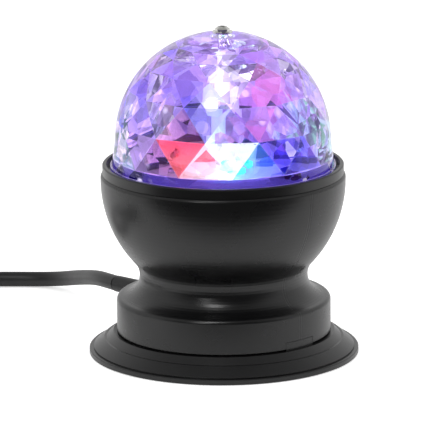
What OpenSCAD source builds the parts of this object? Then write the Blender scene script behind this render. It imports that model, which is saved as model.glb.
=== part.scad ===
// Disco ball light: a clear faceted dome that turns over three coloured lights,
// on a black bowl, neck, drum and round foot, with a mains cord.
// Millimetres, +Z up, origin on the floor under the middle of the foot.

/* [Foot] */
// Diameter of the foot's flange
foot_d = 99.6; // [96:0.2:110]
// Thickness of the flange's rim
foot_rim_t = 1.8; // [1.5:0.1:2.4]
// Width of the flat rim outside the slope
foot_rim_w = 1.6; // [1:0.1:2.4]
// Height of the step from the rim to the slope
foot_step = 0.5; // [0.2:0.1:0.8]
// Height from the underside of the flange to the top of the raised lip
foot_h = 7.9; // [7:0.1:10]
// Height of the ledge in the foot's slope
foot_ledge_h = 5.5; // [4.6:0.1:6]
// Width of that ledge
foot_ledge_w = 0.8; // [0.4:0.1:1.2]
// How far the raised lip reaches out past the drum
foot_lip_w = 1.7; // [1.2:0.1:2.4]
// Wall of the foot
foot_wall = 2.2; // [1.6:0.1:3]
// How far the rubber ring stands proud of the flange
pad_proud = 0.4; // [0.2:0.1:1]
// Width of the rubber ring
pad_w = 3; // [2:0.5:4]
// Depth of the rubber ring's groove
pad_groove = 0.8; // [0.5:0.1:1.2]
// Height of the foot's locating rim inside the drum
spigot_h = 3.5; // [2:0.5:5]

/* [Housing] */
// Diameter of the drum
drum_d = 79; // [77:0.2:84]
// Height of the drum's straight wall
drum_h = 11.2; // [10.7:0.1:18]
// Shadow gap between the foot's lip and the drum
shadow_gap = 0.6; // [0.4:0.1:1.2]
// Rounding of the drum's upper edge
edge_round = 1.5; // [0.8:0.1:1.8]
// Diameter of the neck where it is narrowest
neck_d = 62; // [60:0.5:64]
// Height from the top of the drum's wall to the bowl's widest level
bowl_rise = 45.5; // [44.6:0.1:50]
// Diameter of the bowl
bowl_d = 90.2; // [90:0.2:96]
// Height of the bowl's mouth above its widest level
mouth_rise = 2.2; // [1.8:0.1:3.4]
// Rounding of the mouth's edge
ledge_round = 1.4; // [0.8:0.1:1.6]
// Wall of the housing
housing_wall = 1.8; // [1.4:0.1:2.4]
// Width of the key tab and its notch
key_w = 14.2; // [8:0.2:18]
// Height of the notch
key_h = 2.5; // [1.5:0.1:4]
// Direction of the key tab
key_angle = -45; // [-60:1:-30]

/* [Rim ring and deck] */
// Outer diameter of the collar
collar_d = 88.8; // [88.2:0.1:89.6]
// Wall of the collar
collar_wall = 1.5; // [1.1:0.1:1.8]
// Height of the collar above the mouth
collar_h = 3.6; // [3:0.1:6]
// Width of the ledge that carries the deck
ledge_w = 5.4; // [5:0.1:6]
// Thickness of that ledge
ledge_t = 2.5; // [2:0.1:4]
// Thickness of the light deck
deck_t = 2; // [1.6:0.1:3]
// Height of the deck's top above the mouth
deck_rise = 0.6; // [0.3:0.1:1]
// Length of the posts that carry the gearbox under the deck
deck_post_h = 8; // [7.5:0.5:12]

/* [Dome] */
// Outer diameter of the dome's round part
dome_d = 79.4; // [76:0.2:81]
// Height of the dome's skirt, from its lower edge to its widest level
dome_skirt_h = 11.1; // [9:0.1:14]
// How far the skirt flares out at the bottom
dome_flare = 1.2; // [0.5:0.1:1.5]
// Diameter of the dome's bottom flange
dome_flange_d = 83; // [82.4:0.1:83.6]
// Thickness of the bottom flange
dome_flange_t = 1.6; // [1:0.1:2.5]
// Gap between the deck and the dome
dome_gap = 1; // [0.6:0.1:2]
// Wall of the dome at the facets' corners
dome_wall = 2.3; // [1.6:0.1:3]
// Facets round the dome
facet_count = 12; // [8:1:16]
// Rings of facet corners
facet_rings = 7; // [5:1:7]
// Latitude of the lowest ring of corners
facet_low = -10.5; // [-13:0.5:-7]
// Step between rings at the widest level
facet_step = 20; // [18:0.5:21]
// Direction of the lowest ring's corners
facet_turn = 5; // [0:1:30]
// Diameter of the boss under the dome's top
dome_boss_d = 8.4; // [7.4:0.1:10]
// Length of that boss under the dome's top
dome_boss_h = 6.4; // [6:0.1:8]
// Diameter of the centre post
post_d = 6.4; // [6:0.1:8]
// Diameter of the dome's washer
washer_d = 7.4; // [6.8:0.1:9]
// Thickness of the washer
washer_t = 0.7; // [0.5:0.1:1]
// Diameter of the dome screw's head
screw_head_d = 5.5; // [5:0.1:6]
// Height of the dome screw's head
screw_head_h = 1.7; // [1.5:0.1:3]
// Thread diameter of the dome screw
screw_d = 3; // [2.5:0.1:3.4]
// Length of the dome screw under its head
screw_l = 16; // [12:0.5:24]

/* [Drive] */
// Tooth size of all gears
gear_module = 0.6; // [0.58:0.01:0.62]
// Teeth of the three pinions
pinion_teeth = 10; // [10:1:11]
// Teeth of the two reduction wheels
wheel_teeth = 30; // [28:1:31]
// Teeth of the output gear
output_teeth = 36; // [36:1:38]
// Width of the gears
gear_w = 2.6; // [2:0.1:2.8]
// Step between the three gear levels
gear_level = 3.6; // [3.4:0.1:3.8]
// Free height inside the gearbox
gear_room = 12; // [11.8:0.2:14]
// Diameter of the drive shaft
shaft_d = 4; // [3:0.1:4.4]
// Diameter of the gear pins
pin_d = 2; // [1.5:0.1:2.2]
// Thickness of the gearbox plates
plate_t = 2; // [1.5:0.1:3]
// Diameter of the gearbox base
gearbox_d = 57; // [56:0.5:62]
// Diameter of the gearbox cover
cover_d = 73; // [72:0.5:76]
// Diameter of the motor
motor_d = 20.4; // [18:0.2:21]
// Width of the motor across its flats
motor_flat = 15.4; // [14:0.2:17]
// Length of the motor's can
motor_can_h = 20; // [16:0.5:21]
// Length of the motor's end cap
motor_cap_h = 4.6; // [3:0.2:5]
// Diameter of the motor's shaft
motor_shaft_d = 2; // [1.5:0.1:2.3]

/* [Lights] */
// Diameter of the LED board
led_board_d = 50; // [44:1:54]
// Thickness of the LED board
led_board_t = 1.6; // [1:0.1:2]
// Distance of the LEDs from the board's edge
led_edge = 11; // [9:0.5:13]
// Diameter of an LED's base
led_d = 8; // [6:0.2:10]
// Height of an LED's base
led_h = 1.6; // [1:0.1:2.5]
// Diameter of an LED's lens
lens_d = 5.6; // [4:0.2:5.8]
// Direction of the green LED; red and blue follow a third of a turn apart
led_turn = -85; // [-110:1:-60]
// Diameter of the heat sink
sink_d = 58; // [54:1:59]
// Height of the heat sink with its fins
sink_h = 5.5; // [4:0.5:7]

/* [Driver] */
// Diameter of the driver board
board_d = 58; // [56:1:60]
// Thickness of the driver board
board_t = 1.6; // [1:0.1:2]
// Height of the driver board above the foot's plate
board_rise = 4; // [3:0.5:5]
// Diameter of the small assembly screws
fix_d = 2.6; // [2:0.1:3]

/* [Cord] */
// Diameter of the mains cord
cord_d = 5.8; // [5.4:0.1:6]
// Direction in which the cord leaves the drum
cord_angle = 135; // [130:1:140]
// Height of the cord's middle above the drum's lower edge
cord_rise = 6.7; // [6:0.1:7]
// Length of the strain relief outside the drum
relief_l = 17.2; // [14.2:0.5:24.2]
// Diameter of the strain relief's collar
relief_d = 9.8; // [9.4:0.1:10.4]
// Outermost radius of the coil's turns, to the cord's middle
coil_r = 43; // [40:0.5:46]
// Turns of the coil, in two layers
coil_turns = 6; // [4:2:8]
// Space between neighbouring turns
coil_space = 0.65; // [0.5:0.05:1]
// Thickness of the cord tie
tie_t = 0.8; // [0.5:0.1:1]
// Width of the cord tie
tie_w = 6; // [4:0.5:10]
// Thickness of the plug
plug_t = 13.7; // [13:0.1:16]
// Width of the plug
plug_w = 35.3; // [33:0.1:37]
// Length of the plug's body
plug_l = 37; // [34:0.5:42]
// Diameter of the plug's pins
plug_pin_d = 4; // [3.8:0.1:4.8]
// Length of the plug's pins
plug_pin_l = 19; // [17:0.5:20]
// Spacing of the plug's pins
plug_pin_space = 18.6; // [17:0.1:20]

/* [Hidden] */
$fn = 96;
fine = 64;
eps = 0.01;
// Clearances: a snug seat, a running fit, a screw through a hole, a thread in its pilot hole, two flat faces
seat = 0.15;
run_fit = 0.05;
screw_play = 0.2;
thread_play = 0.04;
face_gap = 0.02;

// Heights of the stack, from the floor up
z_flange = pad_proud;
z_ring = z_flange + foot_h;
z_drum0 = z_ring + shadow_gap;
z_drum1 = z_drum0 + drum_h;
bowl_r = bowl_d / 2;
neck_r = neck_d / 2;
drum_r = drum_d / 2;
foot_r = foot_d / 2;
z_bowl = z_drum1 + bowl_rise;
z_mouth = z_bowl + mouth_rise;
z_collar = z_mouth + collar_h;
z_deck1 = z_mouth + deck_rise;
z_deck0 = z_deck1 - deck_t;
z_dome0 = z_deck1 + dome_gap;
z_dome = z_dome0 + dome_skirt_h;
dome_r = dome_d / 2;
z_top = z_dome + dome_r;
washer_room = 0.3;
flat_half = asin((washer_d / 2 + washer_room) / dome_r);
z_washer = z_dome + dome_r * cos(flat_half);
z_cover1 = z_deck0 - deck_post_h;
z_cover0 = z_cover1 - plate_t;
z_base1 = z_cover0 - gear_room;
z_base0 = z_base1 - plate_t;
z_board0 = z_ring + board_rise;
z_board1 = z_board0 + board_t;
z_led = z_deck1 + led_board_t;

// Hollow of the neck, which touches the bowl's underside and the round of the drum's edge: the
// height of its middle above that edge comes from a quadratic equation, and gives its radius
bowl_share = (bowl_r - neck_r) / (drum_r - neck_r);
bowl_part = bowl_r * bowl_r - neck_r * neck_r;
edge_part = (drum_r - neck_r) * (2 * edge_round + neck_r - drum_r);
hollow_part = (bowl_share - 1) * (bowl_rise * bowl_rise - bowl_part + bowl_share * edge_part);
hollow_rise = (sqrt(bowl_rise * bowl_rise + hollow_part) - bowl_rise) / (bowl_share - 1);
neck_round = (hollow_rise * hollow_rise - edge_part) / (2 * (drum_r - neck_r));
hollow_at = neck_r + neck_round;
z_hollow = z_drum1 + hollow_rise;

// Radii of the housing's inside, of the mouth and of the ring that sits in it
drum_in = drum_r - housing_wall;
bowl_in = bowl_r - housing_wall;
mouth_in = sqrt(bowl_in * bowl_in - mouth_rise * mouth_rise);
mouth_out = sqrt(bowl_r * bowl_r - mouth_rise * mouth_rise);
spigot_r = mouth_in - seat;
spigot_wall = 1.3;
collar_in = collar_d / 2 - collar_wall;
recess_r = spigot_r - spigot_wall;
deck_r = recess_r - seat;
ledge_in = recess_r - ledge_w;
deck_screw_r = recess_r - ledge_w / 2;

// Bosses for the foot's screws, the board's posts and the deck's posts
boss_r = 3.2;
boss_bite = 0.4;
boss_at = drum_in - boss_r + boss_bite;
z_boss = z_hollow - sqrt(pow(neck_round + housing_wall, 2) - pow(hollow_at - boss_at, 2)) + boss_bite;
boss_turns = [0, 90, 180, 270];
board_post_r = 2.8;
screw_inset = 4;
board_post_at = board_d / 2 - screw_inset;
board_turns = [50, 160, 215, 320];
deck_post_r = 3;
post_room = 0.8;
deck_post_at = sink_d / 2 + deck_post_r + post_room;
deck_turns = [0, 120, 240];
pillar_r = 2.6;
pillar_inset = 0.4;
pillar_at = gearbox_d / 2 - pillar_r - pillar_inset;
pillar_turns = [-75, 15, 125];
led_r = led_board_d / 2 - led_edge;
led_third = 120;
led_turns = [led_turn, led_turn + led_third, led_turn + 2 * led_third];
led_screw_at = led_board_d / 2 - screw_inset;
led_screw_turns = [for (turn = led_turns) turn + led_third / 2];

// Motor: how far its cap stands back, its fixing screws and the length of its shaft inside the can
motor_cap_inset = 0.6;
motor_fix_d = 2;
motor_fix_at = 5;
motor_shaft_in = 7.5;

// Leads inside: their diameter, spacing, direction and distance from the axis
lead_d = 1.4;
lead_sides = 8;
lead_pitch = 1.7;
lead_turn = -31;
lead_room = 0.4;
lead_places = [for (i = [-1.5:1:1.5]) i * lead_pitch];
lead_r = sink_d / 2 + 3;
mains_lead_d = 1.8;
terminal_at = [-8, 22];
terminal_h = 9;
terminal_half = 2.5;

// Head sizes of the small screws, how deep the deck's screws sink, the hole round the centre post
fix_head_d = fix_d * 1.8;
fix_head_h = fix_d * 0.6;
deck_sink = fix_head_h * 0.8;
post_hole_r = post_d / 2 + 1.5;

// Gear train: pitch radii, levels, places and the turn of each gear that puts teeth into gaps
pressure = 20;
shift = 0.3;
addendum = 0.85;
dedendum = 1.25;
backlash = 0.15;
level_low = 0.7;
levels = [for (i = [0:2]) z_base1 + level_low + i * gear_level];
d_out = gear_module * (pinion_teeth + output_teeth) / 2;
d_mid = gear_module * (pinion_teeth + wheel_teeth) / 2;
turn_2 = 60;
turn_1 = 175;
turn_m = 215;
at_2 = polar(d_out, turn_2);
at_1 = at_2 + polar(d_mid, turn_1);
at_m = at_1 + polar(d_mid, turn_m);
phase_2 = mesh_phase(turn_2, 0, output_teeth, pinion_teeth);
phase_1 = mesh_phase(turn_1, 0, wheel_teeth, pinion_teeth);
phase_m = mesh_phase(turn_m, 0, wheel_teeth, pinion_teeth);
hub_r = pin_d / 2 + 0.7;
hub_gap = 0.15;
tooth_over = 0.2;
bush_flange = 0.8;
bush_r = shaft_d / 2 + 1.2;
post_socket = 14;
z_post0 = z_cover1 + bush_flange + 0.2;
z_post1 = z_top - dome_boss_h;
z_lens = z_led + led_h;

// Cord: where it leaves the relief, its route to the coil, and its route from the coil to the plug
z_cord = z_drum0 + cord_rise;
cord_r = cord_d / 2;
relief_end = drum_r + relief_l;
relief_waist = relief_d - 2.4;
relief_play = 0.9;
relief_lip_r = relief_waist / 2 + 0.5;
relief_drop = z_hollow - z_cord - relief_lip_r - seat;
under_hollow = sqrt(max(0, pow(neck_round + housing_wall, 2) - pow(relief_drop, 2)));
relief_in = min(drum_in - relief_play, hollow_at - under_hollow);
cord_out = [relief_end * cos(cord_angle), relief_end * sin(cord_angle), z_cord];
coil_at = [-134, 54.5];
coil_pitch = cord_d + coil_space;
tie_play = 0.2;
coil_z = [cord_r + tie_t + tie_play, cord_r + tie_t + tie_play + coil_pitch];
coil_in = [coil_at.x + cord_d, coil_at.y + coil_r, coil_z[0]];
coil_out = [coil_at.x - cord_d, coil_at.y + coil_r, coil_z[1]];
plug_at = [-168, 15, plug_t / 2];
plug_turn = -60;
run_route = [
    cord_out, cord_out + [4, -4, 0] * -0.6, [-47, 53, 14.6], [-50.5, 64, 12], [-54.5, 76, 9],
    [-59, 87, 6], [-64, 94, 3.7], [-71, 97.2, 2.95], [-80, 97.8, 2.95], [-92, 97.6, 3],
    [-105, 97.5, 3.5], [-117, 97.5, coil_z[0]], coil_in + [1, 0, 0], coil_in];
tail_route = [
    coil_out, coil_out + [-1, 0, 0], [-150, 97, 10], [-162, 93, 8.3], [-172.5, 85.2, 5.9],
    [-180, 74, 3.9], [-183.7, 62, 2.95], [-184, 50, 2.95], [-181.3, 38.6, 3],
    [-177, 30.4, 4.2], [-172.5, 22.7, 6.3], plug_at + polar3(-1, plug_turn), plug_at];

// Fewest millimetres between two turns of the coil, measured on the tube's own points
coil_path = coil_points();
coil_gap = min([for (i = [0:1:len(coil_path) - 1]) for (j = [i + 12:1:len(coil_path) - 1])
    norm(coil_path[i] - coil_path[j])]) - cord_d;
cord_length = path_length(run_route) + path_length(coil_path) + path_length(tail_route);
echo(coil_least_gap = coil_gap, cord_length = cord_length);
echo(gear_places = [at_2, at_1, at_m], height = z_top + washer_t + screw_head_h, dome_middle = z_dome);

// Points, arcs and paths

function polar(r, a) = [r * cos(a), r * sin(a)];
function polar3(r, a) = [r * cos(a), r * sin(a), 0];
function arc(c, r, a0, a1, n) = [for (i = [0:n]) c + polar(r, a0 + (a1 - a0) * i / n)];
function unit(v) = v / norm(v);
function path_length(p) = len(p) < 2 ? 0 : sum([for (i = [1:len(p) - 1]) norm(p[i] - p[i - 1])]);
function sum(v, i = 0) = i >= len(v) ? 0 : v[i] + sum(v, i + 1);

// Involute gear outline

function inv(a) = tan(a) - a * PI / 180;
function pitch_r(teeth) = gear_module * teeth / 2;
function base_r(teeth) = pitch_r(teeth) * cos(pressure);
function tooth_half(teeth, x, r) =
    let (thick = gear_module * (PI / 2 + 2 * x * tan(pressure)) - backlash,
         reach = acos(min(1, base_r(teeth) / r)))
    (thick / (2 * pitch_r(teeth)) + inv(pressure) - inv(reach)) * 180 / PI;
function tip_r(teeth, x) = pitch_r(teeth) + gear_module * (addendum + x);
function root_r(teeth, x) = pitch_r(teeth) + gear_module * (x - dedendum);
function flank(teeth, x) =
    let (low = max(base_r(teeth), root_r(teeth, x)), high = tip_r(teeth, x))
    [root_r(teeth, x), low, (low + high) / 2, high];
function gear_outline(teeth, x, turn) = [
    for (i = [0:teeth - 1], side = [-1, 1])
        let (radii = flank(teeth, x), last = len(radii) - 1)
        for (k = [0:last])
            let (r = radii[side < 0 ? k : last - k])
            polar(r, turn + i * 360 / teeth + side * tooth_half(teeth, x, max(r, base_r(teeth))))];
function mesh_phase(along, turn, teeth, next_teeth) =
    along + 180 - 180 / next_teeth + (along - turn) * teeth / next_teeth;

// Tubes swept along a path

function path_way(p, i) = unit(p[min(i + 1, len(p) - 1)] - p[max(i - 1, 0)]);
function tube_ring(p, i, r, sides, up) =
    let (way = path_way(p, i), across = unit(cross(way, up)), rise = cross(across, way))
    [for (k = [0:sides - 1]) p[i] + r * (cos(k * 360 / sides) * across + sin(k * 360 / sides) * rise)];
function tube_faces(rings, sides) = concat(
    [for (i = [0:rings - 2], k = [0:sides - 1])
        let (a = i * sides + k, b = i * sides + (k + 1) % sides)
        each [[a, a + sides, b], [b, a + sides, b + sides]]],
    [for (k = [1:sides - 2]) [0, k, k + 1]],
    [for (k = [1:sides - 2], f = (rings - 1) * sides) [f, f + k + 1, f + k]]);

module tube(p, d, sides, up = [0, 0, 1]) {
    polyhedron(
        points = [for (i = [0:len(p) - 1]) each tube_ring(p, i, d / 2, sides, up)],
        faces = tube_faces(len(p), sides), convexity = 10);
}

// Coil: spirals in on the lower layer, climbs in the half turn where it reverses, spirals out above

function coil_height(t, half) =
    t < half - 0.25 ? coil_z[0] :
    t > half + 0.25 ? coil_z[1] :
    coil_z[0] + (coil_z[1] - coil_z[0]) * (1 - cos(360 * (t - half + 0.25))) / 2;
function coil_point(t, half) =
    let (r = coil_r - coil_pitch * (half - abs(t - half)))
    [coil_at.x + r * cos(90 + 360 * t), coil_at.y + r * sin(90 + 360 * t), coil_height(t, half)];
function coil_points() = concat(
    [coil_in, coil_in - [cord_d / 2, 0, 0]],
    [for (i = [0:24 * coil_turns]) coil_point(i / 24, coil_turns / 2)],
    [coil_out + [cord_d / 2, 0, 0], coil_out]);

// Small parts

module at(r, turn, z = 0) {
    translate([r * cos(turn), r * sin(turn), z]) children();
}

module ring_of(turns, r, z = 0) {
    for (a = turns) at(r, a, z) children();
}

// Screw with its head's seat at z = 0, its shank down and a crossed recess in its head
module screw(d, l, head_d, head_h) {
    cross_w = head_d * 0.14;
    cross_l = head_d * 0.6;
    difference() {
        union() {
            translate([0, 0, -l]) cylinder(d = d - 2 * thread_play, h = l + eps, $fn = fine);
            cylinder(d = head_d, h = head_h * 0.55, $fn = fine);
            translate([0, 0, head_h * 0.55 - eps])
                cylinder(d1 = head_d, d2 = head_d * 0.62, h = head_h * 0.45 + eps, $fn = fine);
        }
        for (a = [0, 90]) rotate(a) translate([-cross_l / 2, -cross_w / 2, head_h * 0.45])
            cube([cross_l, cross_w, head_h]);
    }
}

// Foot

// Half section of the foot: plate, lip, ledge, slope and rim above, the hollow below
module foot_shape() {
    soften = 0.3;
    lip_r = drum_r + foot_lip_w;
    slope_r = foot_r - foot_rim_w;
    z_rim = z_flange + foot_rim_t;
    z_slope = z_rim + foot_step;
    z_ledge = z_flange + foot_ledge_h;
    ledge_r = slope_r - (slope_r - lip_r) * (z_ledge - z_slope) / (z_ring - z_slope);
    polygon([
        [0, z_ring], [lip_r - soften, z_ring], [lip_r, z_ring - soften],
        [ledge_r - foot_ledge_w, z_ledge], [ledge_r, z_ledge],
        [slope_r, z_slope], [slope_r, z_rim], [foot_r - soften, z_rim], [foot_r, z_rim - soften],
        [foot_r, z_flange], [slope_r - pad_w, z_flange],
        [lip_r - foot_wall / 2, z_ring - foot_wall], [0, z_ring - foot_wall]]);
}

module pad_shape() {
    pad_edge = 0.6;
    translate([foot_r - foot_rim_w - pad_w + pad_edge, 0]) square([pad_w, z_flange + pad_groove]);
}

module key_sector(w, z0, z1, r0, r1) {
    intersection() {
        translate([0, 0, z0]) difference() {
            cylinder(r = r1, h = z1 - z0);
            translate([0, 0, -1]) cylinder(r = r0, h = z1 - z0 + 2);
        }
        rotate(key_angle) translate([r0 - 3, -w / 2, z0]) cube([r1 - r0 + 6, w, z1 - z0]);
    }
}

module foot_base() {
    locating_wall = 1.5;
    pilot_floor = 0.5;
    color("#2b2b2d") difference() {
        union() {
            rotate_extrude() foot_shape();
            translate([0, 0, z_ring - eps]) difference() {
                cylinder(r = drum_in - seat, h = spigot_h);
                translate([0, 0, -1]) cylinder(r = drum_in - seat - locating_wall, h = spigot_h + 2);
            }
            key_sector(key_w - 2 * seat, z_ring - eps, z_drum0 + key_h - seat,
                drum_in + seat / 2, drum_r - run_fit);
            ring_of(board_turns, board_post_at, z_ring - eps)
                cylinder(r = board_post_r, h = board_rise + eps, $fn = fine);
        }
        rotate_extrude() pad_shape();
        ring_of(boss_turns, boss_at, z_ring)
            cylinder(r = boss_r + boss_bite, h = spigot_h + 1, $fn = fine);
        ring_of(boss_turns, boss_at, z_ring - foot_wall - 1)
            cylinder(d = fix_d + 2 * screw_play, h = foot_wall + 2, $fn = fine);
        ring_of(board_turns, board_post_at, z_ring + pilot_floor)
            cylinder(d = fix_d, h = board_rise, $fn = fine);
        at(drum_in, cord_angle, z_cord) sphere(d = relief_d + 1, $fn = fine);
    }
}

module foot_pad() {
    color("#111111") rotate_extrude() pad_shape();
}

module foot_screws() {
    foot_screw_l = 10;
    color("#8d9093") ring_of(boss_turns, boss_at, z_ring - foot_wall)
        mirror([0, 0, 1]) screw(fix_d, foot_screw_l, fix_head_d, fix_head_h);
}

// Housing

// Half section of the housing: outside from the drum up to the mouth, then inside back down,
// where each round has the same middle and differs by the wall
module housing_shape() {
    to_hollow = -acos(hollow_at / (bowl_r + neck_round));
    high = asin((mouth_rise - ledge_round) / bowl_r);
    mouth_r = bowl_r * cos(high);
    in_high = asin(mouth_rise / bowl_in);
    edge_c = [drum_r - edge_round, z_drum1];
    hollow_c = [hollow_at, z_hollow];
    to_edge = acos((hollow_at - edge_c.x) / (neck_round + edge_round));
    in_edge = acos((hollow_at - drum_in) / (neck_round + housing_wall));
    polygon(concat(
        [[drum_r, z_drum0]],
        arc(edge_c, edge_round, 0, to_edge, 6),
        arc(hollow_c, neck_round, 180 + to_edge, 180 + to_hollow, 16),
        arc([0, z_bowl], bowl_r, to_hollow, high, 20),
        arc([mouth_r - ledge_round, z_mouth - ledge_round], ledge_round, 0, 90, 6),
        arc([0, z_bowl], bowl_in, in_high, to_hollow, 20),
        arc(hollow_c, neck_round + housing_wall, 180 + to_hollow, 180 + in_edge, 16),
        [[drum_in, z_drum0]]));
}

module housing() {
    color("#2d2d30") difference() {
        union() {
            rotate_extrude() housing_shape();
            ring_of(boss_turns, boss_at, z_ring)
                cylinder(r = boss_r, h = z_boss - z_ring, $fn = fine);
        }
        key_sector(key_w, z_drum0 - 1, z_drum0 + key_h, drum_in - 1, drum_r + 1);
        ring_of(boss_turns, boss_at, z_ring - 1) cylinder(d = fix_d, h = drum_h, $fn = fine);
        translate([0, 0, z_cord]) rotate([0, 90, cord_angle]) translate([0, 0, drum_in - 4])
            cylinder(d = relief_waist + 2 * seat, h = housing_wall + 8, $fn = fine);
    }
}

module rim_ring() {
    soften = 0.4;
    color("#2a2a2c") difference() {
        rotate_extrude() polygon([
            [ledge_in, z_deck0 - ledge_t], [spigot_r, z_deck0 - ledge_t], [spigot_r, z_mouth],
            [collar_d / 2, z_mouth], [collar_d / 2, z_collar - soften], [collar_d / 2 - soften, z_collar],
            [collar_in, z_collar], [collar_in, z_deck1 + soften / 2], [recess_r, z_deck1],
            [recess_r, z_deck0], [ledge_in, z_deck0]]);
        ring_of(deck_turns, deck_screw_r, z_deck0 - ledge_t - 1)
            cylinder(d = fix_d, h = ledge_t + 2, $fn = fine);
    }
}

// Light deck and what it carries

module light_deck() {
    color("#d9dadc") difference() {
        union() {
            translate([0, 0, z_deck0]) cylinder(r = deck_r, h = deck_t);
            ring_of(deck_turns, deck_post_at, z_cover1)
                cylinder(r = deck_post_r, h = deck_post_h + eps, $fn = fine);
        }
        translate([0, 0, z_deck0 - 1]) cylinder(r = post_hole_r, h = deck_t + 2);
        ring_of(deck_turns, deck_screw_r, z_deck0 - 1)
            cylinder(d = fix_d + 2 * screw_play, h = deck_t + 2, $fn = fine);
        ring_of(deck_turns, deck_screw_r, z_deck1 - deck_sink)
            cylinder(d = fix_head_d + 2 * seat, h = fix_head_h, $fn = fine);
        ring_of(deck_turns, deck_post_at, z_cover1 - 1) cylinder(d = fix_d, h = deck_post_h, $fn = fine);
        ring_of(led_screw_turns, led_screw_at, z_deck0 - 1)
            cylinder(d = fix_d + 2 * screw_play, h = deck_t + 2, $fn = fine);
        lead_slot(z_deck0 - 1, deck_t + 2);
    }
}

module deck_screws() {
    color("#8d9093") ring_of(deck_turns, deck_screw_r, z_deck1 - deck_sink) {
        translate([0, 0, -ledge_t - deck_t + fix_head_h])
            cylinder(d = fix_d - 2 * thread_play, h = ledge_t + deck_t - fix_head_h + eps, $fn = fine);
        cylinder(d = fix_head_d, h = fix_head_h * 0.7, $fn = fine);
    }
}

module heat_sink() {
    fins = 5;
    fin_t = 1.4;
    plate = 2;
    hole_r = 2 * post_hole_r - post_d / 2;
    pitch = (sink_d / 2 - hole_r - fin_t) / (fins - 1);
    color("#b9bdc2") difference() {
        union() {
            translate([0, 0, z_deck0 - plate]) cylinder(d = sink_d, h = plate);
            for (i = [0:fins - 1]) translate([0, 0, z_deck0 - sink_h]) difference() {
                cylinder(r = hole_r + fin_t + i * pitch, h = sink_h - plate + eps);
                translate([0, 0, -1]) cylinder(r = hole_r + i * pitch, h = sink_h + 1);
            }
        }
        translate([0, 0, z_deck0 - sink_h - 1]) cylinder(r = hole_r, h = sink_h + 2);
        ring_of(led_screw_turns, led_screw_at, z_deck0 - sink_h - 1)
            cylinder(d = fix_d, h = sink_h + 2, $fn = fine);
    }
}

module led_board() {
    color("#e9ebee") difference() {
        translate([0, 0, z_deck1]) cylinder(d = led_board_d, h = led_board_t);
        translate([0, 0, z_deck1 - 1]) cylinder(r = post_hole_r, h = led_board_t + 2);
        ring_of(led_screw_turns, led_screw_at, z_deck1 - 1)
            cylinder(d = fix_d + 2 * screw_play, h = led_board_t + 2, $fn = fine);
    }
}

module led_screws() {
    color("#8d9093") ring_of(led_screw_turns, led_screw_at, z_led)
        screw(fix_d, led_board_t + deck_t + sink_h - 1, fix_head_d, fix_head_h);
}

module led_base(turn) {
    at(led_r, turn, z_led) cylinder(d = led_d, h = led_h, $fn = fine);
}

module led_red() {
    color("#ff2a2a") led_base(led_turns[2]);
}

module led_green() {
    color("#29e07a") led_base(led_turns[0]);
}

module led_blue() {
    color("#2a55ff") led_base(led_turns[1]);
}

module led_lenses() {
    color("#eef4ff") ring_of(led_turns, led_r, z_lens) intersection() {
        sphere(d = lens_d, $fn = fine);
        cylinder(d = lens_d + 1, h = lens_d, $fn = fine);
    }
}

// Dome with its facets inside, and the parts that turn with it

function facet_lat(k) = k == 0 ? facet_low :
    let (below = facet_lat(k - 1)) below + facet_step * cos(below + facet_step / 2);
function facet_corner(k, i) =
    let (r = dome_r - dome_wall, lat = facet_lat(k),
         turn = facet_turn + (i + k % 2 / 2) * 360 / facet_count,
         out = lat < 0 ? r : r * cos(lat))
    [out * cos(turn), out * sin(turn), z_dome + r * sin(lat)];

module dome_cavity() {
    n = facet_count;
    top = facet_rings - 1;
    corners = [for (k = [0:top], i = [0:n - 1]) facet_corner(k, i)];
    bands = [for (k = [0:top - 1], i = [0:n - 1])
        let (a = k * n + i, b = k * n + (i + 1) % n,
             odd = k % 2, c = (k + 1) * n + (i + odd) % n, d = (k + 1) * n + (i + n - 1 + odd) % n)
        each [[a, c, b], [a, d, c]]];
    polyhedron(points = corners, convexity = 6, faces = concat(bands,
        [[for (i = [0:n - 1]) i]], [[for (i = [n - 1:-1:0]) top * n + i]]));
}

module dome_shape() {
    foot_r = dome_r + dome_flare;
    polygon(concat(
        [[0, z_dome0], [dome_flange_d / 2, z_dome0], [dome_flange_d / 2, z_dome0 + dome_flange_t],
         [foot_r, z_dome0 + dome_flange_t]],
        arc([0, z_dome], dome_r, 0, 90 - flat_half, 28),
        [[0, z_washer]]));
}

module dome() {
    bore_room = 0.8;
    z_low = z_dome + (dome_r - dome_wall) * sin(facet_low);
    color("#b9a4ff", 0.5) difference() {
        rotate_extrude() dome_shape();
        difference() {
            union() {
                dome_cavity();
                translate([0, 0, z_dome0 - 1])
                    cylinder(r = dome_r - dome_wall + bore_room, h = z_low - z_dome0 + 1 + eps);
            }
            translate([0, 0, z_post1]) cylinder(d = dome_boss_d, h = dome_boss_h);
        }
        translate([0, 0, z_post1 - 1])
            cylinder(d = screw_d + 2 * screw_play, h = dome_boss_h + 4, $fn = fine);
    }
}

module dome_washer() {
    color("#9a9c9e") translate([0, 0, z_washer]) difference() {
        cylinder(d = washer_d, h = washer_t, $fn = fine);
        translate([0, 0, -1]) cylinder(d = screw_d + 2 * screw_play, h = washer_t + 2, $fn = fine);
    }
}

module dome_screw() {
    recess_turn = 25;
    color("#5a5a58") translate([0, 0, z_washer + washer_t]) rotate(recess_turn)
        screw(screw_d, screw_l, screw_head_d, screw_head_h);
}

module centre_post() {
    color("#f2f4f6") difference() {
        translate([0, 0, z_post0]) cylinder(d = post_d, h = z_post1 - face_gap - z_post0, $fn = fine);
        translate([0, 0, z_post0 - 1]) cylinder(d = shaft_d, h = post_socket + 1, $fn = fine);
        translate([0, 0, z_washer + washer_t - screw_l - 1]) cylinder(d = screw_d, h = screw_l, $fn = fine);
    }
}

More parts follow.
